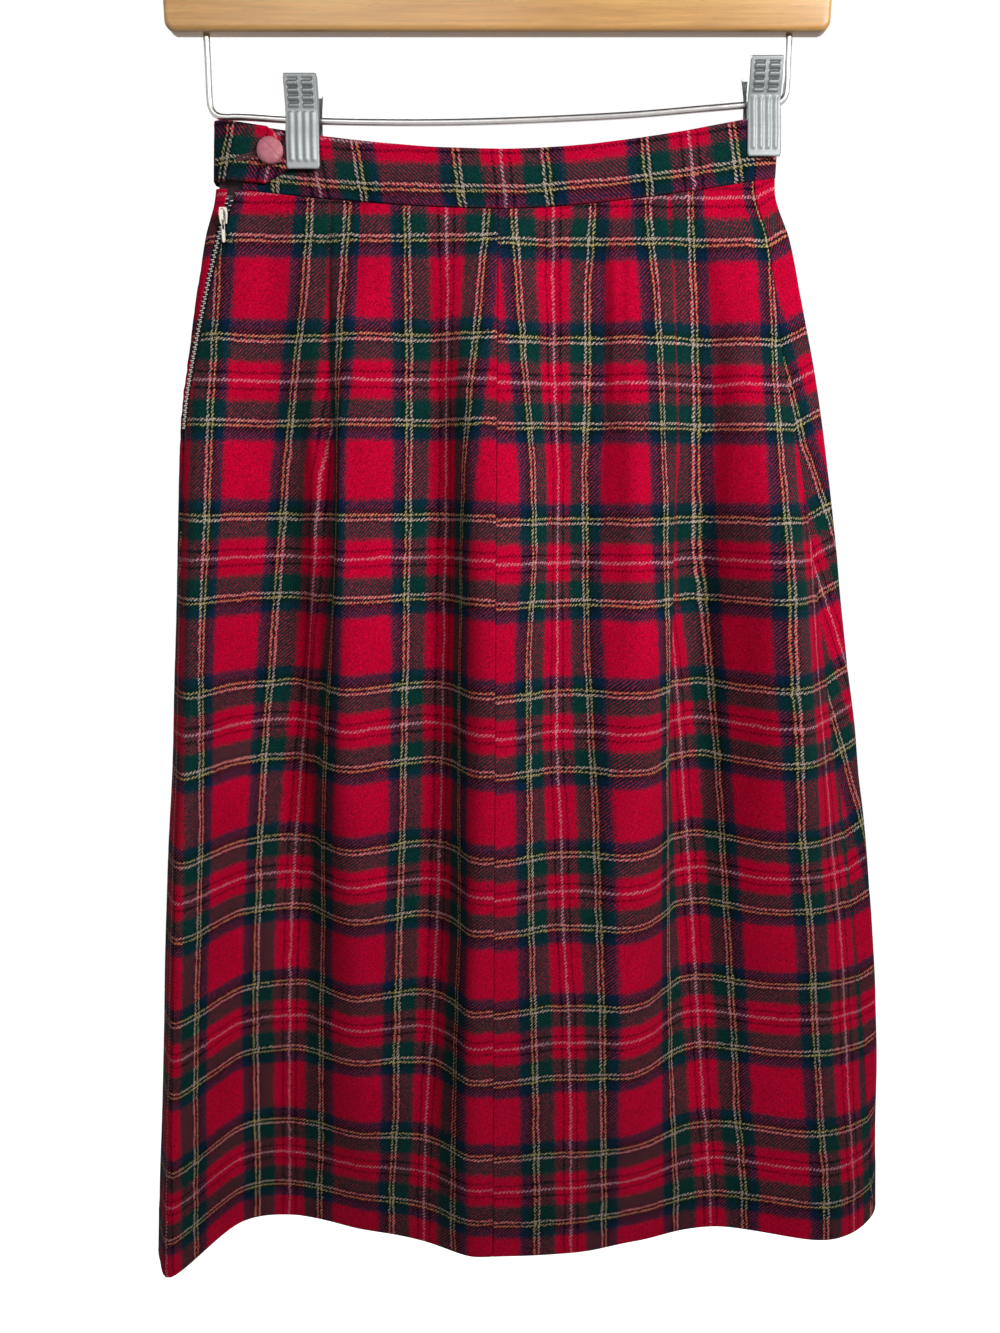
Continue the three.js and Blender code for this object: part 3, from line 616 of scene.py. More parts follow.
class Nodes:
    """A short way to write a material's nodes."""

    def __init__(self, name):
        self.material = bpy.data.materials.new(name)
        self.material.use_nodes = True
        self.tree = self.material.node_tree
        self.shader = self.tree.nodes["Principled BSDF"]

    def node(self, kind, settings=None, **inputs):
        node = self.tree.nodes.new("ShaderNode" + kind)
        for key, value in (settings or {}).items():
            setattr(node, key, value)
        for key, value in inputs.items():
            self.feed(node, key, value)
        return node

    def feed(self, node, key, value):
        names = [s for s in node.inputs if s.enabled and s.name.lower().replace(" ", "_") == key]
        socket = names[0] if names else node.inputs[int(key[1:])]
        if isinstance(value, bpy.types.NodeSocket):
            self.tree.links.new(value, socket)
        else:
            socket.default_value = value

    def math(self, operation, a, b=0.0, c=0.0):
        return self.node("Math", {"operation": operation}, i0=a, i1=b, i2=c).outputs[0]

    def set(self, **inputs):
        for key, value in inputs.items():
            self.feed(self.shader, key, value)

    def place(self):
        return self.node("TexCoord").outputs["Object"]

    def noise(self, scale, detail=2.0, roughness=0.5, vector=None, distortion=0.0):
        vector = vector or self.place()
        node = self.node("TexNoise", vector=vector, scale=scale, detail=detail,
                         roughness=roughness, distortion=distortion)
        return node.outputs["Fac"]

    def stretched(self, x, y, z):
        return self.node("Mapping", vector=self.place(), scale=(x, y, z)).outputs[0]

    def ramp(self, fac, stops, constant=False, both=False):
        node = self.node("ValToRGB", fac=fac)
        ramp = node.color_ramp
        ramp.interpolation = "CONSTANT" if constant else "LINEAR"
        while len(ramp.elements) < len(stops):
            ramp.elements.new(1.0)
        for element, (position, color) in zip(ramp.elements, stops):
            element.position = position
            element.color = (*color, 1)[:4] if hasattr(color, "__len__") else (color, color, color, 1)
        return tuple(node.outputs)[:2] if both else node.outputs[0]

    def mix(self, fac, a, b, blend="MIX"):
        node = self.node("Mix", {"data_type": "RGBA", "blend_type": blend})
        for socket, value in ((node.inputs[0], fac), (node.inputs[6], a), (node.inputs[7], b)):
            if isinstance(value, bpy.types.NodeSocket):
                self.tree.links.new(value, socket)
            else:
                socket.default_value = value if not hasattr(value, "__len__") else (*value, 1)[:4]
        return node.outputs[2]

    def times(self, a, b):
        return self.mix(1.0, a, b, "MULTIPLY")

    def bump(self, height, distance, strength):
        return self.node("Bump", height=height, distance=distance, strength=strength).outputs[0]


# The wool's shader. "wander" is how far stripes drift, in metres. "slow" is the share of the fuzz
# that blurs every stripe, and "quick" the share that blurs the broad ones alone. "deepen", "gain",
# "fibre" and "brown" set the tone where dark yarn crosses red.
WEAVE = {"wander": 0.0022, "slow": 0.3, "quick": 1.0, "dash": 0.6, "mixing": 0.7, "gamma": 8.0,
         "deepen": 1.45, "gain": 1.24, "fibre": -1.6, "brown": 0.08, "stand_off": -1.7, "tint": -0.5}


def check_stops(settings):
    """Half of the check as colour stops: the broad stripes, and the thin lines with their cover."""
    broad, fine, start = [], [], 0.0
    for yarn, width in SETT:
        thin = yarn in OVER
        ground = {"middle": "red", "guard": "red"}.get(yarn, "black") if thin else yarn
        line = (*getattr(settings, yarn), OVER[yarn]) if thin else (0, 0, 0, 0)
        broad.append((start / HALF_SETT, getattr(settings, ground)))
        fine.append((start / HALF_SETT, line))
        start += width
    return broad, fine


def crossed(n, share, yarns, haze):
    """The tone of the cloth where two yarns cross. Dark yarn over red swallows most of the red but
    keeps its own colour, and fibres that stand off the dark stripes catch a little light."""
    deep = [n.node("Gamma", color=yarn, gamma=1 / WEAVE["gamma"]).outputs[0] for yarn in yarns]
    dark = n.node("Gamma", color=n.mix(share, *deep), gamma=WEAVE["gamma"]).outputs[0]
    dark = n.node("SeparateColor", color=dark).outputs[0]
    even = n.node("SeparateColor", color=n.mix(share, *yarns)).outputs
    reddish = n.math("MULTIPLY", n.math("POWER", dark, WEAVE["deepen"]), WEAVE["gain"])
    brown = n.math("MULTIPLY", reddish, n.math("MULTIPLY_ADD", reddish, WEAVE["fibre"], 1.0))
    green = n.math("MULTIPLY_ADD", brown, WEAVE["brown"], even[1])
    ground = n.node("CombineColor", red=reddish, green=green, blue=even[2]).outputs[0]
    standing = n.node("Math", {"operation": "MULTIPLY_ADD", "use_clamp": True}, i0=dark,
                      i1=WEAVE["stand_off"], i2=1.0).outputs[0]
    return n.mix(standing, ground, tuple(haze), "ADD")


def wool(name, settings, warp_repeat, weft_repeat):
    """Brushed twill flannel, woven as a check. Where two dark or red stripes cross, their yarns blend
    to a deeper tone. The thin pale lines lie on top as small slanting dashes."""
    n = Nodes(name)

    def moved(place, noise, reach):
        """A place in the check, moved by noise from 0 to 1 as far as reach either way."""
        return n.math("ADD", place, n.math("MULTIPLY_ADD", noise, 2 * reach, -reach))

    weave = n.node("UVMap", {"uv_map": "weave"}).outputs[0]
    split = n.node("SeparateXYZ", vector=weave).outputs
    broad, fine = check_stops(settings)
    across = n.math("MULTIPLY", split[0], warp_repeat / settings.twill)
    along = n.math("MULTIPLY", split[1], weft_repeat / settings.twill)
    diagonal = n.math("MULTIPLY_ADD", n.noise(500, 1), 0.5, n.math("ADD", across, along))
    lines = n.math("SINE", n.math("MULTIPLY", diagonal, 2 * math.pi))
    drift = n.noise(60, 2)
    yarns, thins, covers = [], [], []
    for i, repeat in ((0, warp_repeat), (1, weft_repeat)):
        lying = moved(split[i], drift, WEAVE["wander"] / 2 / repeat)
        lying = moved(lying, n.noise(900 + 150 * i, 1), WEAVE["slow"] * settings.fuzz / repeat)
        at = moved(lying, n.noise(2600 + 300 * i, 1), WEAVE["quick"] * settings.fuzz / repeat)
        for place, stops in ((at, broad), (lying, fine)):
            fold = n.math("MULTIPLY", n.math("PINGPONG", place, 0.5), 2.0)
            found, cover = n.ramp(fold, stops, constant=True, both=True)
            (yarns if stops is broad else thins).append(found)
        dashes = n.math("MULTIPLY_ADD", lines, WEAVE["dash"] * (1 - 2 * i), WEAVE["dash"])
        covers.append(n.math("MULTIPLY", cover, dashes))
    share = n.math("MULTIPLY_ADD", n.math("MULTIPLY", lines, n.noise(1100, 1)), WEAVE["mixing"], 0.5)
    ground = crossed(n, share, yarns, settings.haze)
    # A thin line shows less where it crosses red
    reds = [n.node("SeparateColor", color=yarn).outputs[0] for yarn in yarns]
    tint = [n.math("MULTIPLY_ADD", red, WEAVE["tint"], 1.0) for red in reds]
    warp_cover = n.math("MULTIPLY", covers[0], tint[1])
    weft_cover = n.math("MULTIPLY", covers[1], tint[0])
    # Beneath a line lies the stripe that it crosses
    on = [n.math("GREATER_THAN", cover, 0.001) for cover in covers]
    color = n.mix(on[0], ground, n.mix(warp_cover, yarns[1], thins[0]))
    under = n.mix(on[0], yarns[0], color)
    color = n.mix(on[1], color, n.mix(weft_cover, under, thins[1]))
    heather = n.ramp(n.noise(1100, 3, 0.7), ((0.3, 0.42), (0.7, 1.55)))
    patchy = n.ramp(n.noise(30, 2), ((0.3, 0.92), (0.7, 1.06)))
    color = n.times(n.times(color, heather), patchy)
    height = n.math("MULTIPLY_ADD", lines, 0.22, n.math("MULTIPLY", n.noise(800, 4, 0.75), 1.2))
    n.set(base_color=color, roughness=0.95, specular_ior_level=0.03, sheen_weight=0.012,
          sheen_roughness=0.5, sheen_tint=(1.0, 0.75, 0.78, 1.0),
          normal=n.bump(height, settings.nap, 0.6))
    return n.material


def satin(name, color):
    n = Nodes(name)
    ribs = n.node("TexWave", {"wave_type": "BANDS", "bands_direction": "DIAGONAL"},
                  vector=n.place(), scale=900.0, distortion=2.0, detail=1.0).outputs["Fac"]
    worn = n.ramp(n.noise(420, 3), ((0.3, 0.86), (0.75, 1.12)))
    n.set(base_color=n.times(color, worn), roughness=0.38, sheen_weight=0.35,
          sheen_roughness=0.3, specular_ior_level=0.55, anisotropic=0.5,
          normal=n.bump(n.math("ADD", ribs, n.noise(260, 2)), 0.00012, 0.5))
    return n.material


def thread(name, color):
    n = Nodes(name)
    ply = n.node("TexWave", {"bands_direction": "DIAGONAL"}, vector=n.place(), scale=1400.0)
    n.set(base_color=n.times(color, n.ramp(n.noise(1800, 2), ((0.3, 0.7), (0.7, 1.2)))), roughness=0.7,
          sheen_weight=0.2, normal=n.bump(ply.outputs["Fac"], 0.0001, 0.6))
    return n.material


def woven_tape(name, color):
    n = Nodes(name)
    rows = n.node("TexWave", {"bands_direction": "Z"}, vector=n.place(), scale=330.0,
                  distortion=1.5, detail=2.0).outputs["Fac"]
    shade = n.ramp(n.noise(900, 3), ((0.3, 0.7), (0.7, 1.3)))
    n.set(base_color=n.times(color, shade), roughness=0.9, sheen_weight=0.2,
          normal=n.bump(n.math("ADD", rows, n.noise(1500, 2)), 0.00015, 0.6))
    return n.material


def metal(name, color, roughness, grain, wear=0.12):
    """Plated or pressed steel: fine brushing, smudges and slightly uneven brightness."""
    n = Nodes(name)
    brushing = n.noise(1.0, 3, 0.6, n.stretched(*grain))
    smudge = n.noise(160, 3)
    rough = n.math("MULTIPLY_ADD", smudge, wear, roughness - 0.5 * wear)
    tone = n.ramp(n.math("MULTIPLY", n.math("ADD", brushing, smudge), 0.5), ((0.3, 0.86), (0.7, 1.06)))
    n.set(base_color=n.times(color, tone), metallic=1.0, roughness=rough,
          normal=n.bump(brushing, 0.00004, 0.35))
    return n.material


def wood(name, dark, middle, light):
    """Light varnished hardwood with fine lengthwise grain and short darker flecks."""
    n = Nodes(name)
    figure = n.noise(1.0, 4, 0.6, n.stretched(7, 60, 95), 0.8)
    streaks = n.noise(1.0, 3, 0.7, n.stretched(22, 300, 620))
    flecks = n.noise(1.0, 2, 0.5, n.stretched(120, 900, 1500))
    base = n.ramp(figure, ((0.28, dark), (0.5, middle), (0.78, light)))
    color = n.times(base, n.ramp(streaks, ((0.3, 0.84), (0.68, 1.06))))
    color = n.times(color, n.ramp(flecks, ((0.24, 0.72), (0.36, 1.0))))
    n.set(base_color=color, roughness=n.math("MULTIPLY_ADD", streaks, 0.16, 0.3), coat_weight=0.2,
          coat_roughness=0.16, normal=n.bump(n.math("ADD", streaks, flecks), 0.00012, 0.3))
    return n.material


def plain(name, color, roughness, glow=0.0):
    n = Nodes(name)
    n.set(base_color=(*color, 1), roughness=roughness, emission_color=(1, 1, 1, 1),
          emission_strength=glow)
    return n.material


def material(make, name, *values):
    """The named material, made the first time it is asked for."""
    return bpy.data.materials.get(name) or make(name, *values)


# Settings

def length(name, description, default):
    return FloatProperty(name=name, description=description, default=default * MM, unit="LENGTH",
                         subtype="DISTANCE", precision=5)


def color(name, description, default):
    return FloatVectorProperty(name=name, description=description, default=default, subtype="COLOR",
                               size=3, min=0, max=1)


def power(name, description, default):
    return FloatProperty(name=name, description=description, default=default, unit="POWER")


class WoolSettings(PropertyGroup):
    """The yarns of the check and the weave."""

    red: color("Red", "Ground yarn of the check", (0.62, 0.0004, 0.036))
    navy: color("Navy", "Stripes beside the wide red", (0.007, 0.013, 0.052))
    black: color("Black", "Ground of the thin pairs", (0.0018, 0.002, 0.003))
    guard: color("Guard", "Dark lines beside the middle line", (0.02, 0.001, 0.006))
    yellow: color("Yellow", "Thin line nearer the wide red", (0.50, 0.43, 0.19))
    white: color("White", "Thin line nearer the green", (0.56, 0.46, 0.38))
    middle: color("Middle", "Pale line through the small red", (1.0, 0.42, 0.52))
    green: color("Green", "Broad stripes beside the small red", (0.007, 0.034, 0.032))
    warp_repeat: length("Warp repeat", "Width of one whole check", WARP_REPEAT)
    weft_repeat: length("Weft repeat", "Height of one whole check", WEFT_REPEAT)
    band_repeat: length("Band repeat", "Length of one whole check along the waistband", 108.3)
    haze: color("Haze", "Light caught by the fibres of dark stripes", (0.002, 0.0075, 0.003))
    twill: length("Twill", "Spacing of the diagonal lines of the weave", 2.35)
    fuzz: length("Fuzz", "How far the brushed fibres blur a stripe's edge", 5.0)
    nap: length("Nap", "Height of the brushed surface", 0.3)


class SewingSettings(PropertyGroup):
    """Sizes of the sewing."""

    dart_groove: length("Dart groove", "Depth of the stitched dart lines", 0.9)
    pucker: length("Pucker", "Height of the small puckers beside the seams", 0.35)
    band_crown: length("Band crown", "How far the waistband's face swells", 0.6)
    buttonhole: length("Buttonhole", "Length of the worked buttonhole", 16.0)
    button_color: color("Button", "Satin that covers the button", (0.62, 0.17, 0.22))


class ZipSettings(PropertyGroup):
    """Sizes and finish of the side zip."""

    pitch: length("Tooth pitch", "Spacing of the teeth, both sides counted", 1.3)
    tooth: length("Tooth width", "Width of one tooth", 1.7)
    metal: color("Teeth", "Metal of the teeth", (0.42, 0.41, 0.38))
    bright: color("Slider", "Metal of slider and pull", (0.40, 0.38, 0.33))
    tape: color("Tape", "Woven tape", (0.012, 0.014, 0.035))


class HangerSettings(PropertyGroup):
    """Sizes and finish of the hanger."""

    flute: length("Flute depth", "Depth of the pressed flutes in a clip", 0.8)
    louvre: length("Louvre height", "Height of the pressed louvres in a clip", 1.5)
    coils: IntProperty(name="Coils", description="Turns of each clip's spring", default=6, min=2)
    edge: length("Bar edge", "Radius of the wooden bar's edges", 3.0)
    wood: color("Wood", "Middle tone of the wood", (0.75, 0.385, 0.10))
    wood_light: color("Light wood", "Lighter tone of the grain", (0.85, 0.49, 0.155))
    wood_dark: color("Dark wood", "Darker tone of the grain", (0.59, 0.28, 0.07))
    steel: color("Clip steel", "Pressed steel of the clips", (0.27, 0.287, 0.287))
    wire: color("Wire", "Plated wire of rail and hook", (0.46, 0.45, 0.44))


class StageSettings(PropertyGroup):
    """Camera, room and lights."""

    distance: length("Distance", "Camera to the middle of the skirt", VIEW["distance"])
    height: length("Height", "Camera height in the skirt's frame", VIEW["height"])
    tilt: FloatProperty(name="Tilt", description="How far the camera looks down",
                        default=VIEW["tilt"], unit="ROTATION", subtype="ANGLE")
    focal: FloatProperty(name="Focal length", description="Lens for a 36 mm long side",
                         default=26.36, unit="CAMERA")
    drop: length("Floor drop", "Floor below the hem", 250.0)
    key: power("Key light", "Power of the large light at the right", 3.5)
    fill: power("Fill light", "Power of the light at the left", 1.0)
    back: power("Back light", "Power of the light behind the skirt", 3.4)


# Cloth

HEIGHTS = np.concatenate([np.arange(HEM_Z, -330, 4.0), np.arange(-330, -150, 2.0)])
COLUMN_STEP = 3.6
ROW_STEP = 4.0
EDGE_STEPS = (0.0, 0.25, 0.8, 1.5)
HEM_ROWS = (0, 0.3, 0.9, 1.6, 3)
TOP_ROWS = 30
TOP_REACH = 90  # from here up the rows follow the waist seam
HEM_LIFT = 0.35  # how far the turned-up hem pushes the cloth out
UNEVEN = 0.4
# A dart's stitched groove and the ridge on each side of it, the soft fold below a dart, and the
# puckers beside a seam
GROOVE = {"half": 1.1, "ridge": 0.45, "beside": 4, "spread": 3}
FOLD = {"half": 5.0, "ridge": 0.5, "beside": 10, "fade": 60, "end": 560}
PUCKER = {"quick": 0.55, "slow": 0.21, "beside": 2.5, "spread": 3.5}


def zip_opening(z):
    return SEAM_GAP + (ZIP_OPENING - SEAM_GAP) * smoothstep(z, WAIST_Z - ZIP_END,
                                                            WAIST_Z - ZIP_END + ZIP_TAPER)


def dart_x(x, length_mm, z):
    """A dart's line: straight down to its end, then spreading with the skirt."""
    side = "left" if x < 0 else "right"
    end = PATTERN_ZERO - length_mm
    spread = outline(np.minimum(z, end), side) / outline(np.array([end]), side)
    return x * spread


def columns_between(anchors):
    """Columns (count, heights) of s values through anchor lines, closer beside the two ends.
    Also returns the index of each anchor between the ends."""
    first, last = anchors[0], anchors[-1]
    start = [first + d for d in EDGE_STEPS]
    end = [last - d for d in EDGE_STEPS[::-1]]
    lines = [start[-1], *anchors[1:-1], end[0]]
    middle, marks = [], []
    for low, high in zip(lines[:-1], lines[1:]):
        count = max(2, round(float(np.max(high - low)) / COLUMN_STEP))
        for i in range(count):
            middle.append(low + (high - low) * i / count)
        marks.append(len(start) - 1 + len(middle))
    columns = np.array(start[:-1] + middle + end)
    return columns, marks[:-1]


def crease_depth(side, x, down):
    depth = np.zeros_like(x)
    for where, top_x, low_x, top, low, half, height in CREASES:
        if where != side:
            continue
        t = (down - top) / (low - top)
        line = top_x + (low_x - top_x) * t + 1.5 * np.sin(0.02 * down + top_x)
        fade = smoothstep(t, -0.08, 0.22) * (1 - smoothstep(t, 0.55, 1.08))
        width = half * (0.8 + 0.5 * np.clip(t, 0, 1))
        depth += height * fade * bell(x - line, width)
    return depth


class FrontPlan:
    """Where a front panel's creases and upright stripes lie, from the chart."""

    def __init__(self, cloth, name):
        self.cloth, self.left = cloth, name == "front_left"
        self.segments, self.creases = [[]], []
        for kind, what, pixels in CHART[name]:
            line = self.line(pixels)
            if kind == "stripe":
                self.segments[-1].append((line, what))
            else:
                self.creases.append((line, *what))
                self.segments.append([])
        self.add_seam()

    def line(self, pixels):
        """The distance s, at each height, of a line charted in the picture."""
        first, last = (0, LINE["centre_seam"]) if self.left else (LINE["centre_seam"], LINE["right_seam"])
        part = slice(first * Cloth.STEPS, last * Cloth.STEPS + 1)
        found = []
        for i, z in enumerate(self.cloth.heights):
            across, down = seen(self.cloth.curve[i, part, 0], self.cloth.curve[i, part, 1], z)
            off = across - np.interp(down, CHART_ROWS, pixels)
            seen_part = slice(np.argmin(across), np.argmax(across) + 1)
            found.append(np.interp(0.0, off[seen_part], self.cloth.s[i, part][seen_part]))
        return np.array(found)

    def add_seam(self):
        """The check never runs past the middle red at the centre seam."""
        segment = self.segments[-1 if self.left else 0]
        line, place = segment[-1 if self.left else 0]
        reach = place + (0 - line) / WARP_REPEAT
        at_seam = np.minimum(reach, 0) if self.left else np.maximum(reach, 0)
        segment.insert(len(segment) if self.left else 0, (np.zeros_like(line), at_seam))

    def places(self, columns, marks):
        """The warp's place in whole checks, read from the left and from the right of each column."""
        values = []
        for segment in self.segments:
            value = np.empty_like(columns)
            for i in range(columns.shape[1]):
                at = np.array([line[i] for line, _ in segment])
                place = np.array([np.broadcast_to(p, columns.shape[1])[i] for _, p in segment])
                s = columns[:, i]
                value[:, i] = (np.interp(s, at, place) + np.minimum(s - at[0], 0) / WARP_REPEAT
                               + np.maximum(s - at[-1], 0) / WARP_REPEAT)
            values.append(value)
        before, after = np.empty_like(columns), np.empty_like(columns)
        bounds = [0, *marks, len(columns) - 1]
        for value, low, high in zip(values, bounds[:-1], bounds[1:]):
            after[low:high] = value[low:high]
            before[low + 1 : high + 1] = value[low + 1 : high + 1]
        before[0], after[-1] = after[0], before[-1]
        for mark, (_, size, spread, _) in zip(marks, self.creases):
            jump = after[mark] - before[mark]
            below = PATTERN_ZERO - self.cloth.heights - size
            width = np.maximum(spread * smoothstep(below, 0, 40), 0.01)
            share = smoothstep((columns - columns[mark]) / width, -1, 1)
            near = np.arange(len(columns))[:, None] < mark
            change = np.where(near, jump * share, -jump * (1 - share))
            change[mark] = 0
            before += change
            after += change
            soft = width > 0.3
            before[mark] += np.where(soft, jump / 2, 0)
            after[mark] -= np.where(soft, jump / 2, 0)
        return before, after


class BackPlan:
    """The back's darts, and its check laid out from the middle."""

    def __init__(self, cloth):
        self.cloth = cloth
        self.creases = [(cloth.s_on_back(dart_x(x, size, cloth.heights)), size, *BACK_FOLD)
                        for x, _, size in BACK_DARTS]
        self.middle = cloth.s_on_back(0.0)

    def places(self, columns, marks):
        before = columns - self.middle
        after = before.copy()
        for mark, (x, intake, size) in zip(marks, BACK_DARTS):
            taken = intake * np.clip((size - (PATTERN_ZERO - self.cloth.heights)) / size, 0, 1.3)
            index = np.arange(len(columns))[:, None]
            # s grows from the right side seam to the left one
            if x > 0:
                before -= np.where(index <= mark, taken, 0)
                after -= np.where(index < mark, taken, 0)
            else:
                before += np.where(index > mark, taken, 0)
                after += np.where(index >= mark, taken, 0)
        return before / WARP_REPEAT, after / WARP_REPEAT


def panel_rows(columns, top):
    """The heights of each column's points: level rows above the hem, then rows up to the seam."""
    level = WAIST_Z - TOP_REACH
    low = [HEM_Z + d for d in HEM_ROWS] + list(np.arange(HEM_Z + 6, level, ROW_STEP))
    z = np.empty((len(columns), len(low) + TOP_ROWS + len(EDGE_STEPS)))
    z[:, : len(low)] = low
    t = np.linspace(0, 1, TOP_ROWS + 1)[None, :]
    z[:, len(low) : -3] = level + (top[:, None] - EDGE_STEPS[-1] - level) * t
    z[:, -3:] = top[:, None] - np.array(EDGE_STEPS[2::-1])
    return z


def add_darts(lift, s, z, marks, creases, depth):
    """Adds each dart's stitched groove to the lift, and the soft fold that runs on below it."""
    for mark, (_, size, _, trough) in zip(marks, creases):
        in_dart = np.clip((size - (PATTERN_ZERO - z)) / size, 0, 1.3)
        distance = s - s[mark]
        groove = depth * smoothstep(in_dart, 0.0, 0.25)
        lift -= groove * bell(distance, GROOVE["half"])
        lift += GROOVE["ridge"] * groove * bell(np.abs(distance) - GROOVE["beside"], GROOVE["spread"])
        fade = 1 - smoothstep(PATTERN_ZERO - z, size + FOLD["fade"], FOLD["end"])
        fade *= 1 - smoothstep(in_dart, 0.0, 0.2)
        trough = trough * fade
        lift -= trough * bell(distance, FOLD["half"])
        lift += FOLD["ridge"] * trough * bell(np.abs(distance) - FOLD["beside"], FOLD["half"])


def add_puckers(lift, distance, z, height):
    """Adds the small puckers beside a seam to the lift."""
    wave = np.sin(z * PUCKER["quick"]) * np.sin(z * PUCKER["slow"] + 1)
    lift += height * wave * bell(distance - PUCKER["beside"], PUCKER["spread"])


def panel(name, side, start, end, plan, context):
    """One cloth panel between two edges, which are s values at each height."""
    cloth = plan.cloth
    columns, marks = columns_between([start, *(crease[0] for crease in plan.creases), end])
    found = cloth.points(columns)
    mid = cloth.heights.searchsorted(WAIST_Z)
    top = seam_z(found[:, mid, 0]) - 0.1
    z = panel_rows(columns, top)
    ends = [np.broadcast_to(edge, columns.shape) for edge in (start, end)]
    weave = np.stack([columns, *ends, *plan.places(columns, marks)], 2)
    full = np.concatenate([found[..., :4], weave], 2)
    x, y, nx, ny, s, s0, s1, before, after = np.moveaxis(regrid(cloth.heights, full, z), 2, 0)
    sewing = context.scene.skirt_sewing
    lift = crease_depth(side, x, WAIST_Z - z) + UNEVEN * ripple(x, z, 1 if side == "front" else 2)
    add_darts(lift, s, z, marks, plan.creases, sewing.dart_groove / MM)
    for edge in (s0, s1):
        add_puckers(lift, np.abs(s - edge), z, sewing.pucker / MM)
    hem_top = HEM_Z + HEM_TURN
    lift += HEM_LIFT * smoothstep(z, hem_top + 3, hem_top - 3)
    thick = CLOTH + (HEM_CLOTH - CLOTH) * (z < hem_top)
    inset = rounding(np.where(z - HEM_Z < 3, z - HEM_Z, 9), HEM_CLOTH)
    inset = np.maximum(inset, rounding(2 * np.minimum(s - s0, s1 - s), thick))
    inset = np.maximum(inset, rounding(top[:, None] - z, thick))
    rim = rim_of(*inset.shape)
    inset[rim] = (thick / 2)[rim]

    def face(depth):
        return np.stack([x + nx * (lift - depth), y + ny * (lift - depth), z], 2)

    sizes = context.scene.skirt_wool
    drop = RIGHT_PANEL_DROP if name == "front_right" else 0
    if name == "back":
        beyond = s - s0
        drop = RIGHT_PANEL_DROP * bell(beyond, BACK_JOIN["drop"])
        drop -= BACK_JOIN["climb"] * beyond * bell(beyond, BACK_JOIN["reach"])
    weft = ((PATTERN_ZERO - z) / WEFT_SQUEEZE - RED_BELOW_ZERO - drop) / (sizes.weft_repeat / MM)
    cloth_material = material(wool, "checked wool", sizes, sizes.warp_repeat, sizes.weft_repeat)
    piece = shell(name + "_cloth", face(inset), face(thick - inset), np.stack([before, weft], 2),
                  np.stack([after, weft], 2), cloth_material)
    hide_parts(name)
    return piece


class SKIRT_OT_panels(Operator):
    """Builds the two front panels and the back, with darts, creases and turned-up hems"""

    bl_idname = "skirt.panels"
    bl_label = "Skirt panels"

    def execute(self, context):
        cloth = Cloth(HEIGHTS)
        left, right = cloth.s_at(LINE["left_seam"]), cloth.s_at(LINE["right_seam"])
        again = cloth.s_at(ROUND)
        centre = np.zeros_like(left)
        half_zip = zip_opening(cloth.heights) / 2 - SEAM_GAP / 2 + 0.05
        plans = {name: FrontPlan(cloth, name) for name in CHART}
        pieces = [
            panel("front_left", "front", left + half_zip, centre, plans["front_left"], context),
            panel("front_right", "front", centre, right, plans["front_right"], context),
            panel("back", "back", right, again - half_zip, BackPlan(cloth), context),
        ]
        return {"FINISHED"}


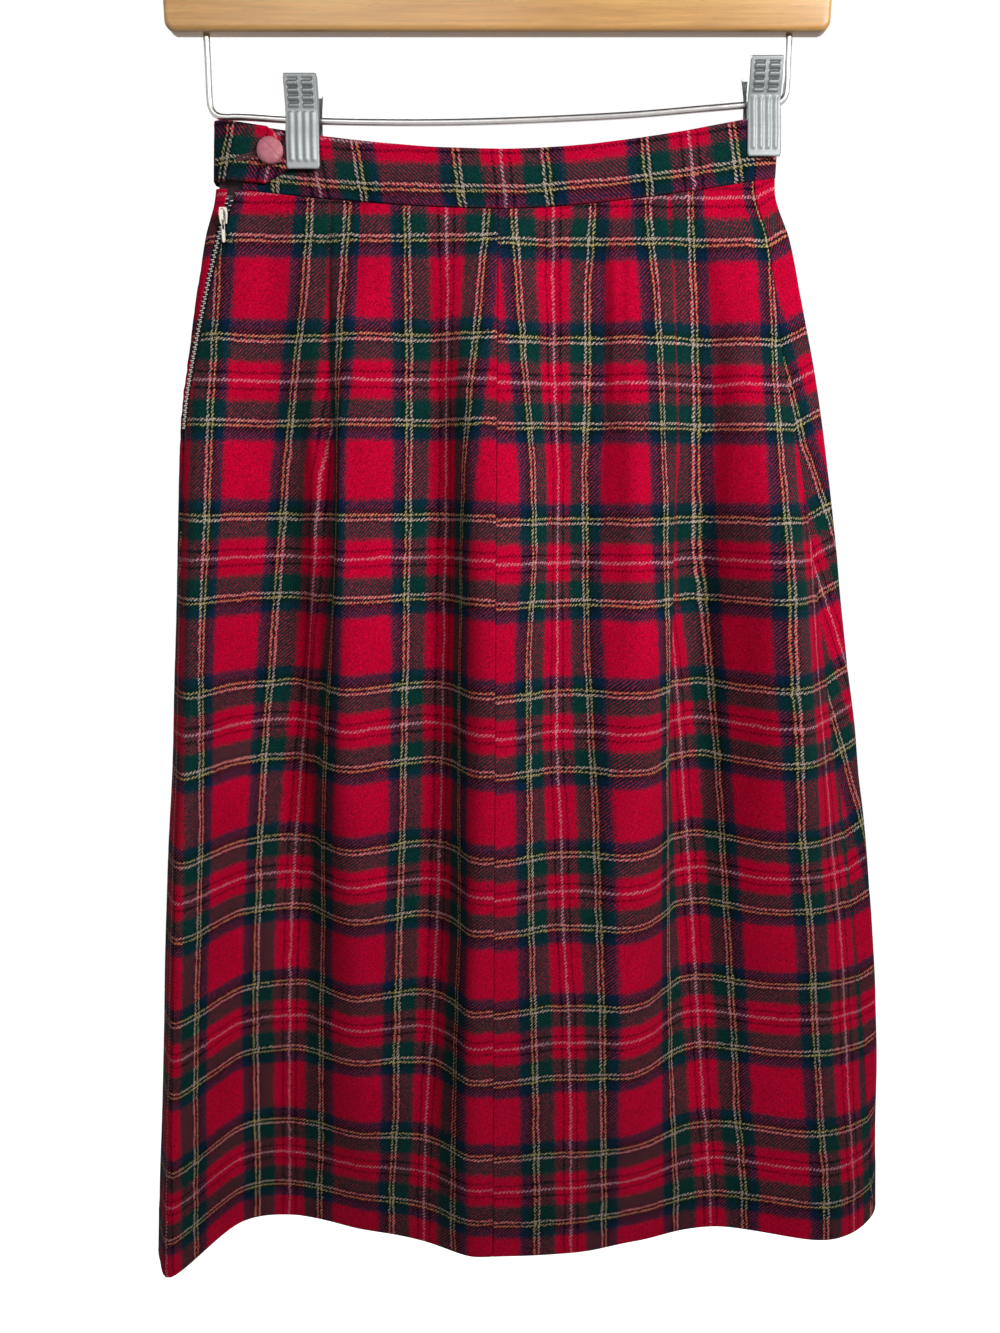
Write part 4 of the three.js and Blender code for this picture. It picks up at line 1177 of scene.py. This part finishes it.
class SKIRT_OT_waistband(Operator):
    """Builds the waistband: the strip across the front and the one round the back with its pointed tab"""

    bl_idname = "skirt.waistband"
    bl_label = "Waistband"

    def execute(self, context):
        self.cloth = Cloth(np.arange(-225.0, -150.0, 2.5))
        self.level = self.cloth.heights.searchsorted(WAIST_Z + BAND_HEIGHT / 2)
        cloth, sizes = self.cloth, context.scene.skirt_wool
        self.material = material(wool, "waistband wool", sizes, sizes.band_repeat, sizes.warp_repeat)
        self.repeat = sizes.band_repeat / MM
        self.crown = context.scene.skirt_sewing.band_crown / MM
        under = self.s_here(UNDER_END)
        right, again = self.s_here(LINE["right_seam"]), self.s_here(ROUND)
        front = self.strip("waistband_front", under, right, lambda place: 0 * place)
        left_side = slice(0, 5 * cloth.STEPS)
        tip = again - self.s_here(0) + np.interp(
            TAB_TIP, cloth.curve[self.level, left_side, 0], cloth.s[self.level, left_side])
        back = self.strip("waistband_back", right, tip, lambda place: smoothstep(
            place, ROUND - 1 - TAB_TURN[0], ROUND + TAB_TURN[1]))
        return {"FINISHED"}

    def s_here(self, place):
        return float(self.cloth.s_at(place)[self.level])

    def strip(self, name, start, end, overlap):
        cloth = self.cloth
        count = round((end - start) / BAND_COLUMN_STEP)
        s = np.concatenate([start + np.array(EDGE_STEPS[:-1]),
                            np.linspace(start + EDGE_STEPS[-1], end - EDGE_STEPS[-1], count),
                            end - np.array(EDGE_STEPS[2::-1])])
        # Keep each column at one fold-line place, so that the strip follows the panels' columns
        place = np.interp(s, cloth.s[self.level], cloth.place)
        along = np.array([[np.interp(p, cloth.place, cloth.s[i]) for i in range(len(cloth.heights))]
                          for p in place])
        found = cloth.points(along)
        x_mid = found[:, self.level, 0]
        over = overlap(place)
        low, high = seam_z(x_mid) + 0.1 + TAB_LIFT * over, band_top_z(x_mid)
        edges = np.array(EDGE_STEPS)
        span = high - low
        inside = (span[:, None] - 2 * edges[-1]) * np.linspace(0, 1, BAND_ROWS)[None, :]
        h = np.concatenate([np.broadcast_to(edges[:-1], (len(s), 3)), edges[-1] + inside,
                            span[:, None] - edges[2::-1][None, :]], axis=1)
        pointed = np.clip((x_mid - TAB_SHOULDER) / (TAB_TIP - TAB_SHOULDER), 0, TAB_POINT)
        narrowed = np.where(place > ROUND, pointed, 0)
        z = low[:, None] + h
        middle = (low + high)[:, None] / 2
        z = z + (middle - z) * narrowed[:, None]
        x, y, nx, ny, _ = np.moveaxis(regrid(cloth.heights, found, z), 2, 0)
        t = h / span[:, None]
        lift = (BAND_CLOTH + SEAM_GAP) * over[:, None] + self.crown * np.sin(np.pi * t) ** 0.8
        lift = lift + BAND_UNEVEN * ripple(x * 2.2, z * 2.0, 3 if name.endswith("front") else 4)
        lift = lift + BAND_RIDGE["lift"] * bell(t - BAND_RIDGE["at"], BAND_RIDGE["half"])
        inset = np.maximum(rounding(h, BAND_CLOTH), rounding(span[:, None] - h, BAND_CLOTH))
        from_end = np.minimum(s - start, end - s)
        inset = np.maximum(inset, rounding(from_end, BAND_CLOTH)[:, None])
        inset[rim_of(*inset.shape)] = BAND_CLOTH / 2

        def face(depth):
            out = lift - depth
            return np.stack([x + nx * out, y + ny * out, z], 2)

        front = name.endswith("front")
        lean = np.interp(x_mid, BAND_LEAN[0], BAND_LEAN[1]) if front else np.where(
            place > ROUND - 2, -0.2, np.gradient((low + high) / 2, s))
        rise = BAND_FIRST_RISE * smoothstep(x_mid, -20, -100)
        first = BAND_FIRST + (rise if front else -TAB_SHIFT * over)
        across = first[:, None] + (z - low[:, None]) / BAND_SQUEEZE
        turn = 0 if front else self.s_here(ROUND) - self.s_here(0)
        part = slice(0, LINE["right_seam"] * cloth.STEPS)
        zero = np.interp(BAND_RED_X if front else TAB_WHITE_X, cloth.curve[self.level, part, 0],
                         cloth.s[self.level, part]) + turn
        run = (s - zero)[:, None] + (z - middle) * lean[:, None] + (0 if front else self.repeat / 2)
        weave = np.stack([run / self.repeat, across / (2 * HALF_SETT)], 2)
        piece = shell(name + "_cloth", face(inset), face(BAND_CLOTH - inset), weave, weave,
                      self.material)
        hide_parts(name)
        return piece


class SKIRT_OT_button(Operator):
    """Builds the satin-covered button and its worked buttonhole"""

    bl_idname = "skirt.button"
    bl_label = "Button"

    def execute(self, context):
        sewing = context.scene.skirt_sewing
        low, high = (np.array(corner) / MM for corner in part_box("button"))
        centre, radius = (low + high) / 2, (high[0] - low[0]) / 2
        height = high[1] - low[1]
        profile = smooth_path([(r, up, 0) for r, up in BUTTON_PROFILE], 0.04)[1:-1]
        sides = 64
        vertices = []
        for j in range(sides):
            angle = 2 * math.pi * j / sides
            for r, up, _ in profile:
                x, z = r * radius * math.cos(angle), r * radius * math.sin(angle)
                # The satin creases along one diagonal, so the dome has a light and a dark half
                fold = (x * 0.72 + z * 0.69) / radius - DIMPLE["from"]
                dent = DIMPLE["line"] * bell(fold, DIMPLE["half"]) + DIMPLE["fall"] * max(0, fold)
                gather = GATHERS["depth"] * math.sin(angle * GATHERS["count"]) * (r > 0.8)
                vertices.append((centre[0] + x, high[1] - up * height + dent * up + gather,
                                 centre[2] + z))
        faces = round_faces(sides, len(profile))
        for row, flip in ((0, False), (len(profile) - 1, True)):
            ring = [j * len(profile) + row for j in range(sides)]
            vertices.append(tuple(np.mean([vertices[i] for i in ring], axis=0)))
            hub = len(vertices) - 1
            for j in range(sides):
                a, b = ring[j], ring[(j + 1) % sides]
                faces.append((hub, b, a) if flip else (hub, a, b))
        faces = [face[::-1] for face in faces]
        silk = material(satin, "dusty red satin", tuple(sewing.button_color))
        cover = make_object("button_cover", vertices, faces, silk)
        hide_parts("button")
        self.buttonhole(sewing, centre)
        return {"FINISHED"}

    def buttonhole(self, sewing, centre):
        parts = []
        reach = sewing.buttonhole / MM
        for t in np.linspace(0, 1, BUTTONHOLE_STITCHES):
            x = centre[0] - 4 - reach * t
            z = centre[2] - 0.5 - 3.4 * t
            wall = self.band_face(x, z)
            for side in (-1, 1):
                ends = [(x - 0.1, wall - 0.1, z + side * 0.25), (x, wall - 0.45, z + side * 0.9),
                        (x + 0.1, wall + 0.3, z + side * 1.6)]
                parts.append(tube(smooth_path(ends, 0.5), 0.21, 5))
        vertices, faces = join_parts(parts)
        dark = material(thread, "dark red thread", (0.09, 0.006, 0.014))
        make_object("buttonhole_stitches", vertices, faces, dark)

    @staticmethod
    def band_face(x, z):
        """The tab's outer face, read from its mesh straight in front of a point."""
        tab = bpy.data.objects["waistband_back_cloth"]
        hit, place, _, _ = tab.ray_cast(Vector((x * MM, -0.05, z * MM)), Vector((0, 1, 0)))
        if not hit:
            raise RuntimeError("the tab isn't where the buttonhole goes")
        return place.y / MM


class SKIRT_OT_zip(Operator):
    """Builds the side zip: tape, teeth, slider and pull"""

    bl_idname = "skirt.zip"
    bl_label = "Side zip"

    def execute(self, context):
        sizes = context.scene.skirt_zip
        cloth = Cloth(np.arange(WAIST_Z - ZIP_END - 6, WAIST_Z + 34, 2.0))
        seam = cloth.s_at(ROUND)

        def at(z, across, out):
            """A point beside the seam, and the directions across it and out from the cloth."""
            heights = cloth.heights
            found = cloth.points(np.array([seam + across]))[0]
            x, y, nx, ny = (np.interp(z, heights, found[:, i]) for i in range(4))
            return np.array([x + nx * out, y + ny * out, z]), np.array([-ny, nx, 0]), np.array([nx, ny, 0])

        self.tape(sizes, at)
        self.teeth(sizes, at)
        self.slider(sizes)
        self.stay(at)
        return {"FINISHED"}

    @staticmethod
    def stay(at):
        """A tape inside the waist seam, which closes the view under the raised tab. Its near-black colour
        is painted shade for the shadow in that gap.
        """
        across = np.linspace(-STAY["half"], STAY["half"], 33)
        seam = float(seam_z(np.array(STAY["x"])))
        heights = np.linspace(seam + STAY["low"], seam + STAY["high"], 18)
        outer, inner = (np.array([[at(z, offset, STAY[side])[0] for z in heights] for offset in across])
                        for side in ("outer", "inner"))
        meet_at_rim(outer, inner)
        weave = np.zeros(outer.shape[:2] + (2,))
        weave[..., 0], weave[..., 1] = across[:, None] * MM, heights[None, :] * MM
        # Painted shade: the strip's near-black colour stands in for the shadow under the tab.
        dark = material(woven_tape, "dark waist stay", (0.022, 0.004, 0.009))
        piece = shell("waist_stay", outer, inner, weave, weave, dark)

    def tape(self, sizes, at):
        across = np.linspace(-1, 1, 15) * TAPE_WIDTH / 2
        heights = np.linspace(WAIST_Z - ZIP_END + 4.5, WAIST_Z - ZIP_TOP - 0.5, 64)
        outer = np.empty((len(across), len(heights), 3))
        inner = np.empty_like(outer)
        for c, offset in enumerate(across):
            ridge = 0.25 * math.exp(-((abs(offset) - 2.4) / 0.6) ** 2)
            for r, z in enumerate(heights):
                rim = c in (0, len(across) - 1) or r in (0, len(heights) - 1)
                inset = TAPE_THICK / 2 if rim else 0
                outer[c, r] = at(z, offset, TAPE_OUT + ridge - inset)[0]
                inner[c, r] = at(z, offset, TAPE_OUT - TAPE_THICK + inset)[0]
        weave = np.zeros(outer.shape[:2] + (2,))
        weave[..., 0], weave[..., 1] = across[:, None] * MM, heights[None, :] * MM
        dark = material(woven_tape, "navy zip tape", tuple(sizes.tape))
        piece = shell("zip_tape_cloth", outer, inner, weave, weave, dark)
        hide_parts("zip_tape")

    def teeth(self, sizes, at):
        pitch, width = sizes.pitch / MM, sizes.tooth / MM
        top, low = WAIST_Z - ZIP_TOP - 3, WAIST_Z - ZIP_END + ZIP_TAPER + 2
        parts = []
        slider_z = WAIST_Z - 6
        for i in range(int((top - low) / pitch)):
            z = top - i * pitch
            side = 1 if i % 2 else -1
            spread = 1.1 * float(smoothstep(np.array(z), slider_z, slider_z + 14))
            place, across, out = at(z, side * (0.55 + spread), CHAIN_OUT - CHAIN_THICK / 2)
            parts.append(self.tooth(place, across * side, out, width, pitch))
        vertices, faces = join_parts(parts)
        silver = material(metal, "nickel zip metal", tuple(sizes.metal), 0.36, (900, 900, 900))
        piece = make_object("zip_teeth", vertices, faces, silver)
        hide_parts("zip_chain")

    @staticmethod
    def tooth(place, across, out, width, pitch):
        """One cast tooth: a rounded head over the middle and two jaws round the tape's edge."""
        up = np.array([0, 0, 1.0])
        rings = []
        for along, tall, deep in TOOTH_RINGS:
            centre = place + across * along * width
            ring = [centre + up * tall * pitch * math.cos(a) + out * deep * math.sin(a)
                    for a in np.linspace(0, 2 * math.pi, TOOTH_SIDES, endpoint=False)]
            rings.append(ring)
        return np.array(rings).reshape(-1, 3), ring_faces(len(rings), TOOTH_SIDES)

    @staticmethod
    def narrow(mesh):
        """The pull is seen nearly edge on, so it shows slimmer than it is cut."""
        points = np.empty(len(mesh.vertices) * 3)
        mesh.vertices.foreach_get("co", points)
        points = points.reshape(-1, 3)
        middle = (points[:, 0].min() + points[:, 0].max()) / 2
        points[:, 0] = middle + PULL_SHARE * (points[:, 0] - middle)
        mesh.vertices.foreach_set("co", points.ravel())

    def slider(self, sizes):
        bright = material(metal, "bright slider metal", tuple(sizes.bright), 0.34, (700, 700, 120))
        for node, body, edge in (("zip_slider", "skirt", 0.22), ("zip_pull", "pull", 0.2)):
            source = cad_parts[node]
            mesh = source.data.copy()
            if node == "zip_pull":
                self.narrow(mesh)
            mesh.materials.clear()
            mesh.materials.append(bright)
            piece = bpy.data.objects.new(node + "_rounded", mesh)
            bpy.context.scene.collection.objects.link(piece)
            bevel = piece.modifiers.new("edges", "BEVEL")
            bevel.width = edge * MM
            bevel.segments = 3
            bevel.limit_method = "ANGLE"
            bevel.angle_limit = math.radians(30)
            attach(piece, body)
            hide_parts(node)


# Hanger

def clip_steel(settings):
    return material(metal, "pressed clip steel", tuple(settings.steel), 0.56, (60, 60, 900), 0.16)


def bright_wire(settings):
    return material(metal, "plated wire", tuple(settings.wire), 0.34, (40, 500, 500), 0.1)


def rail_z(x):
    return float(through([p[0] for p in RAIL_POINTS], [p[1] for p in RAIL_POINTS], np.array(x)))


class SKIRT_OT_clips(Operator):
    """Builds the two pressed-steel clips with their flutes, louvres and coiled springs"""

    bl_idname = "skirt.clips"
    bl_label = "Clips"

    def execute(self, context):
        sizes = context.scene.skirt_hanger
        for clip in CLIPS:
            for side, half in ((-1, "front"), (1, "back")):
                node = f"clip_{clip['name']}_{half}"
                vertices, faces = self.plate(clip, side, sizes)
                piece = make_object(node + "_pressed", vertices, faces, clip_steel(sizes))
                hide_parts(node)
            vertices, faces = self.spring(clip, sizes)
            piece = make_object(f"clip_{clip['name']}_coil", vertices, faces, bright_wire(sizes))
            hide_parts(f"clip_{clip['name']}_spring")
        return {"FINISHED"}

    def plate(self, clip, side, sizes):
        pivot = rail_z(clip["x"])
        jaw = clip["jaw"] if side < 0 else CLIP["back"]
        seat = CLIP["spring"] + SEAM_GAP + 0.1 + CLIP["plate"] / 2
        top = clip["top"] - (CLIP["back_drop"] if side > 0 else 0)
        spine = smooth_path([
            (0, jaw, clip["tip"]),
            (0, jaw, clip["tip"] + CLIP["jaw_height"]),
            (0, max(seat, jaw - CLIP["lean"]), pivot),
            (0, (seat + CLIP["lever"]) / 2 + CLIP["bow"], (pivot + clip["top"]) / 2),
            (0, CLIP["lever"], top),
        ], 0.5)
        size = np.linalg.norm(np.diff(spine, axis=0), axis=1)
        along = np.concatenate([[0], np.cumsum(size)])
        count = int(along[-1] / 0.45)
        v = np.linspace(0, along[-1], count)
        y, z = np.interp(v, along, spine[:, 1]), np.interp(v, along, spine[:, 2])
        slope = np.stack([np.gradient(y), np.gradient(z)], 1)
        slope /= np.linalg.norm(slope, axis=1, keepdims=True)
        half = CLIP["width"] / 2
        flange = FLANGE["low"] + FLANGE["more"] * smoothstep(z, pivot - 8, pivot + 8)
        u = np.linspace(-1, 1, 61)
        total = along[-1]
        outer, inner = [], []
        for place in u:
            corner = CORNER * np.sqrt(np.clip(1 - np.minimum(v, total - v) / CORNER, 0, 1))
            x = place * (half - 0.35 * corner * (abs(place) > 0.9))
            face = self.relief(x, v, total, sizes)
            turn = np.clip((abs(place) - FLANGE["from"]) / (1 - FLANGE["from"]), 0, 1)
            back = -flange * turn**1.5
            bow = 0.25 * (1 - (x / half) ** 2)
            push = (face + bow) * (1 - turn) + back
            for faces_out, shift in ((outer, CLIP["plate"] / 2), (inner, -CLIP["plate"] / 2)):
                out = push + shift * (1 - 0.75 * turn)
                faces_out.append(np.stack([
                    np.broadcast_to(clip["x"] + x, v.shape) + clip["turn"] * (z - pivot),
                    side * (y + slope[:, 1] * out),
                    z - slope[:, 0] * out,
                ], 1))
        outer, inner = np.array(outer), np.array(inner)
        meet_at_rim(outer, inner)
        faces, used = shell_faces(*outer.shape[:2])
        vertices = np.concatenate([outer.reshape(-1, 3), inner.reshape(-1, 3)])
        if side > 0:
            faces = faces[:, ::-1]
        return vertices[used], faces.tolist()

    @staticmethod
    def relief(x, v, total, sizes):
        """The pressed pattern: four flutes below, two columns of louvres above."""
        half, end = FLUTES["half"], FLUTES["end"] * total
        flute = sizes.flute / MM * (0.5 - 0.5 * np.cos(2 * math.pi * (x + half) / FLUTES["pitch"]))
        span = smoothstep(v, *FLUTES["start"]) * (1 - smoothstep(v, end, end + 1.6))
        column = np.abs(np.abs(x) - LOUVRES["column"])
        wide = 1 - smoothstep(column, *LOUVRES["side"])
        local = (v - LOUVRES["first"] * total) / (LOUVRES["pitch"] * total)
        row = np.floor(local)
        t = local - row
        bar = np.sin(np.pi * np.clip(t / LOUVRES["bar"], 0, 1)) ** 0.7
        bar = np.where(t < LOUVRES["bar"], bar, LOUVRES["slot"])
        rows = (row >= 0) & (row < LOUVRES["count"])
        return flute * (np.abs(x) < half) * span + sizes.louvre / MM * bar * wide * rows

    @staticmethod
    def spring(clip, sizes):
        turns, wire = sizes.coils, CLIP["spring_wire"]
        radius = CLIP["spring"] - wire
        half = CLIP["coil"] / 2
        points = []
        for i in range(turns * 18 + 1):
            t = i / (turns * 18)
            x = clip["x"] - half + wire + (2 * half - 2 * wire) * t
            angle = 2 * math.pi * turns * t - math.pi / 2
            points.append((x, radius * math.cos(angle), rail_z(x) + radius * math.sin(angle)))
        return tube(points, wire, 8)


class SKIRT_OT_wire(Operator):
    """Builds the wire rail that carries the clips and the hook that carries the hanger"""

    bl_idname = "skirt.wire"
    bl_label = "Rail and hook"

    def execute(self, context):
        sizes = context.scene.skirt_hanger
        top = BAR["bottom"] - SEAM_GAP
        left_z, right_z = RAIL_POINTS[0][1], RAIL_POINTS[-1][1]
        bend, leg = RAIL["bend"], RAIL["leg"]
        rail = [(RAIL["left"], 0, top), (RAIL["left"], 0, top - leg),
                *arc(RAIL["left"] + bend, left_z + bend, bend, 180, 270, 5),
                *((x, 0, z) for x, z in RAIL_POINTS),
                *arc(RAIL["right"] - bend, right_z + bend, bend, 270, 360, 5),
                (RAIL["right"], 0, top - leg), (RAIL["right"], 0, top)]
        crown = BAR["bottom"] + BAR["middle"]
        x, shank = HOOK["x"], HOOK["shank"]
        hook = [(x, 0, crown + SEAM_GAP), (x, 0, crown + shank),
                (x + HOOK["bend"], 0, crown + shank + HOOK["rise"]),
                *arc(0, -(HOOK["radius"] - WIRE), HOOK["radius"], HOOK["start"], HOOK["end"], 13)]
        for node, points in (("rail", rail), ("hook", hook)):
            path = smooth_path(points, 1.6)
            radius = np.full(len(path), WIRE)
            if node == "hook":
                radius[-3:] = WIRE * np.array([0.97, 0.85, 0.5])
            vertices, faces = tube(path, radius, 20)
            piece = make_object(node + "_wire", vertices, faces, bright_wire(sizes))
            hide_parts(node)
        return {"FINISHED"}


class SKIRT_OT_bar(Operator):
    """Builds the varnished wooden bar"""

    bl_idname = "skirt.bar"
    bl_label = "Wooden bar"

    def execute(self, context):
        sizes = context.scene.skirt_hanger
        left, right, bottom = BAR["left"], BAR["right"], BAR["bottom"]
        corner, ends, crown = BAR["corner"], bottom + BAR["end"], bottom + BAR["middle"]
        points = []
        for x, z, start in ((left + corner, bottom + corner, 180), (right - corner, bottom + corner, 270),
                            (right - corner, ends - corner, 0)):
            points.extend(arc(x, z, corner, start, start + 90, 14)[:, [0, 2]])
        shoulder, flat = BAR_CROWN["shoulder"], BAR_CROWN["flat"]
        points.extend(self.bezier((right - corner, ends), (right - shoulder, ends),
                                  (HOOK["x"] + flat, crown), (HOOK["x"], crown))[1:])
        points.extend(self.bezier((HOOK["x"], crown), (HOOK["x"] - flat, crown),
                                  (left + shoulder, ends), (left + corner, ends))[1:-1])
        points.extend(arc(left + corner, ends - corner, corner, 90, 180, 14)[:, [0, 2]])
        vertices, faces = slab(points, BAR["thick"], sizes.edge / MM, 6)
        tones = (tuple(tone) for tone in (sizes.wood_dark, sizes.wood, sizes.wood_light))
        varnished = material(wood, "varnished light wood", *tones)
        piece = make_object("bar_wood", vertices, faces, varnished)
        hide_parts("hanger_bar")
        return {"FINISHED"}

    @staticmethod
    def bezier(a, b, c, d, count=40):
        t = np.linspace(0, 1, count)[:, None]
        a, b, c, d = (np.array(p, float) for p in (a, b, c, d))
        return a * (1 - t) ** 3 + 3 * b * t * (1 - t) ** 2 + 3 * c * t**2 * (1 - t) + d * t**3


# Stage

# The lamps in metres: name, place and size. All of them face one point.
LAMPS = (
    ("key", (0.68, -0.8, 0.12), 0.42),
    ("fill", (-0.25, -1.0, 0.2), 0.5),
    ("back", (-0.4, 0.95, 0.25), 0.6),
)
AIM = (0, 0, -0.36)
LAMP_SPREAD = math.radians(105)
WORLD_LIGHT = 0.05
ROOM = {"radius": 3.2, "rise": 4.2, "bend": 1.0, "sides": 64}  # in metres


class SKIRT_OT_stage(Operator):
    """Sets the camera, the round white room and the soft lights"""

    bl_idname = "skirt.stage"
    bl_label = "Stage"

    def execute(self, context):
        sizes = context.scene.skirt_stage
        scene = context.scene
        camera = bpy.data.objects.new("camera", bpy.data.cameras.new("camera"))
        scene.collection.objects.link(camera)
        camera.location = (0, -sizes.distance, sizes.height)
        camera.rotation_euler = (math.pi / 2 - sizes.tilt, 0, 0)
        camera.data.sensor_width = 36
        camera.data.lens = sizes.focal
        camera.data.clip_start = 0.01
        scene.camera = camera
        self.room(sizes)
        for name, place, size in LAMPS:
            self.area(name, Vector(place), Vector(AIM), size, getattr(sizes, name))
        world = scene.world or bpy.data.worlds.new("room light")
        scene.world = world
        world.use_nodes = True
        background = world.node_tree.nodes["Background"]
        background.inputs["Color"].default_value = (1.0, 1.0, 1.0, 1)
        background.inputs["Strength"].default_value = WORLD_LIGHT
        scene.view_settings.view_transform = "Standard"
        return {"FINISHED"}

    @staticmethod
    def room(sizes):
        """A round floor that curves up into a wall all the way round."""
        floor = HEM_Z * MM - sizes.drop
        radius, rise, bend, sides = (ROOM[key] for key in ("radius", "rise", "bend", "sides"))
        profile = [(0.01, floor), (1.0, floor), (radius - bend, floor)]
        for angle in np.linspace(0, math.pi / 2, 13)[1:]:
            profile.append((radius - bend + bend * math.sin(angle), floor + bend * (1 - math.cos(angle))))
        profile.append((radius, floor + rise))
        vertices = []
        for j in range(sides):
            angle = 2 * math.pi * j / sides
            for out, z in profile:
                vertices.append((out * math.cos(angle), out * math.sin(angle), z))
        mesh = bpy.data.meshes.new("studio")
        middle = tuple(j * len(profile) for j in range(sides))
        mesh.from_pydata(vertices, [], [*round_faces(sides, len(profile)), middle])
        mesh.polygons.foreach_set("use_smooth", [True] * len(mesh.polygons))
        mesh.materials.append(plain("studio white", (0.9, 0.9, 0.9), 0.9, 0.95))
        studio = bpy.data.objects.new("studio", mesh)
        # The cloth takes its light from the lamps alone, so it darkens towards the hem
        studio.visible_diffuse = False
        bpy.context.scene.collection.objects.link(studio)

    @staticmethod
    def area(name, place, target, size, power):
        light = bpy.data.objects.new(name, bpy.data.lights.new(name, "AREA"))
        light.data.size = size
        light.data.energy = power
        light.data.spread = LAMP_SPREAD
        light.location = place
        light.rotation_euler = (target - place).to_track_quat("-Z", "Y").to_euler()
        bpy.context.scene.collection.objects.link(light)


# Panel and registration

class SKIRT_PT_build(Panel):
    """Lists the steps that build the skirt"""

    bl_idname = "SKIRT_PT_build"
    bl_label = "Skirt"
    bl_space_type = "VIEW_3D"
    bl_region_type = "UI"
    bl_category = "Skirt"

    def draw(self, context):
        for title, settings, steps in GROUPS:
            box = self.layout.box()
            box.label(text=title)
            group = getattr(context.scene, settings)
            for key in group.__annotations__:
                box.prop(group, key)
            for step in steps:
                box.operator(step.bl_idname)


GROUPS = (
    ("Wool", "skirt_wool", (SKIRT_OT_panels, SKIRT_OT_waistband)),
    ("Sewing", "skirt_sewing", (SKIRT_OT_button,)),
    ("Zip", "skirt_zip", (SKIRT_OT_zip,)),
    ("Hanger", "skirt_hanger", (SKIRT_OT_clips, SKIRT_OT_wire, SKIRT_OT_bar)),
    ("Stage", "skirt_stage", (SKIRT_OT_stage,)),
)
SETTINGS = {
    "skirt_wool": WoolSettings,
    "skirt_sewing": SewingSettings,
    "skirt_zip": ZipSettings,
    "skirt_hanger": HangerSettings,
    "skirt_stage": StageSettings,
}


def register():
    for name, group in SETTINGS.items():
        bpy.utils.register_class(group)
        setattr(bpy.types.Scene, name, PointerProperty(type=group))
    for _, _, steps in GROUPS:
        for step in steps:
            bpy.utils.register_class(step)
    bpy.utils.register_class(SKIRT_PT_build)


def unregister():
    bpy.utils.unregister_class(SKIRT_PT_build)
    for _, _, steps in GROUPS:
        for step in steps:
            bpy.utils.unregister_class(step)
    for name, group in SETTINGS.items():
        delattr(bpy.types.Scene, name)
        bpy.utils.unregister_class(group)


def main():
    register()
    for _, _, steps in GROUPS:
        for step in steps:
            category, name = step.bl_idname.split(".")
            getattr(getattr(bpy.ops, category), name)()


if __name__ == "__main__":
    main()
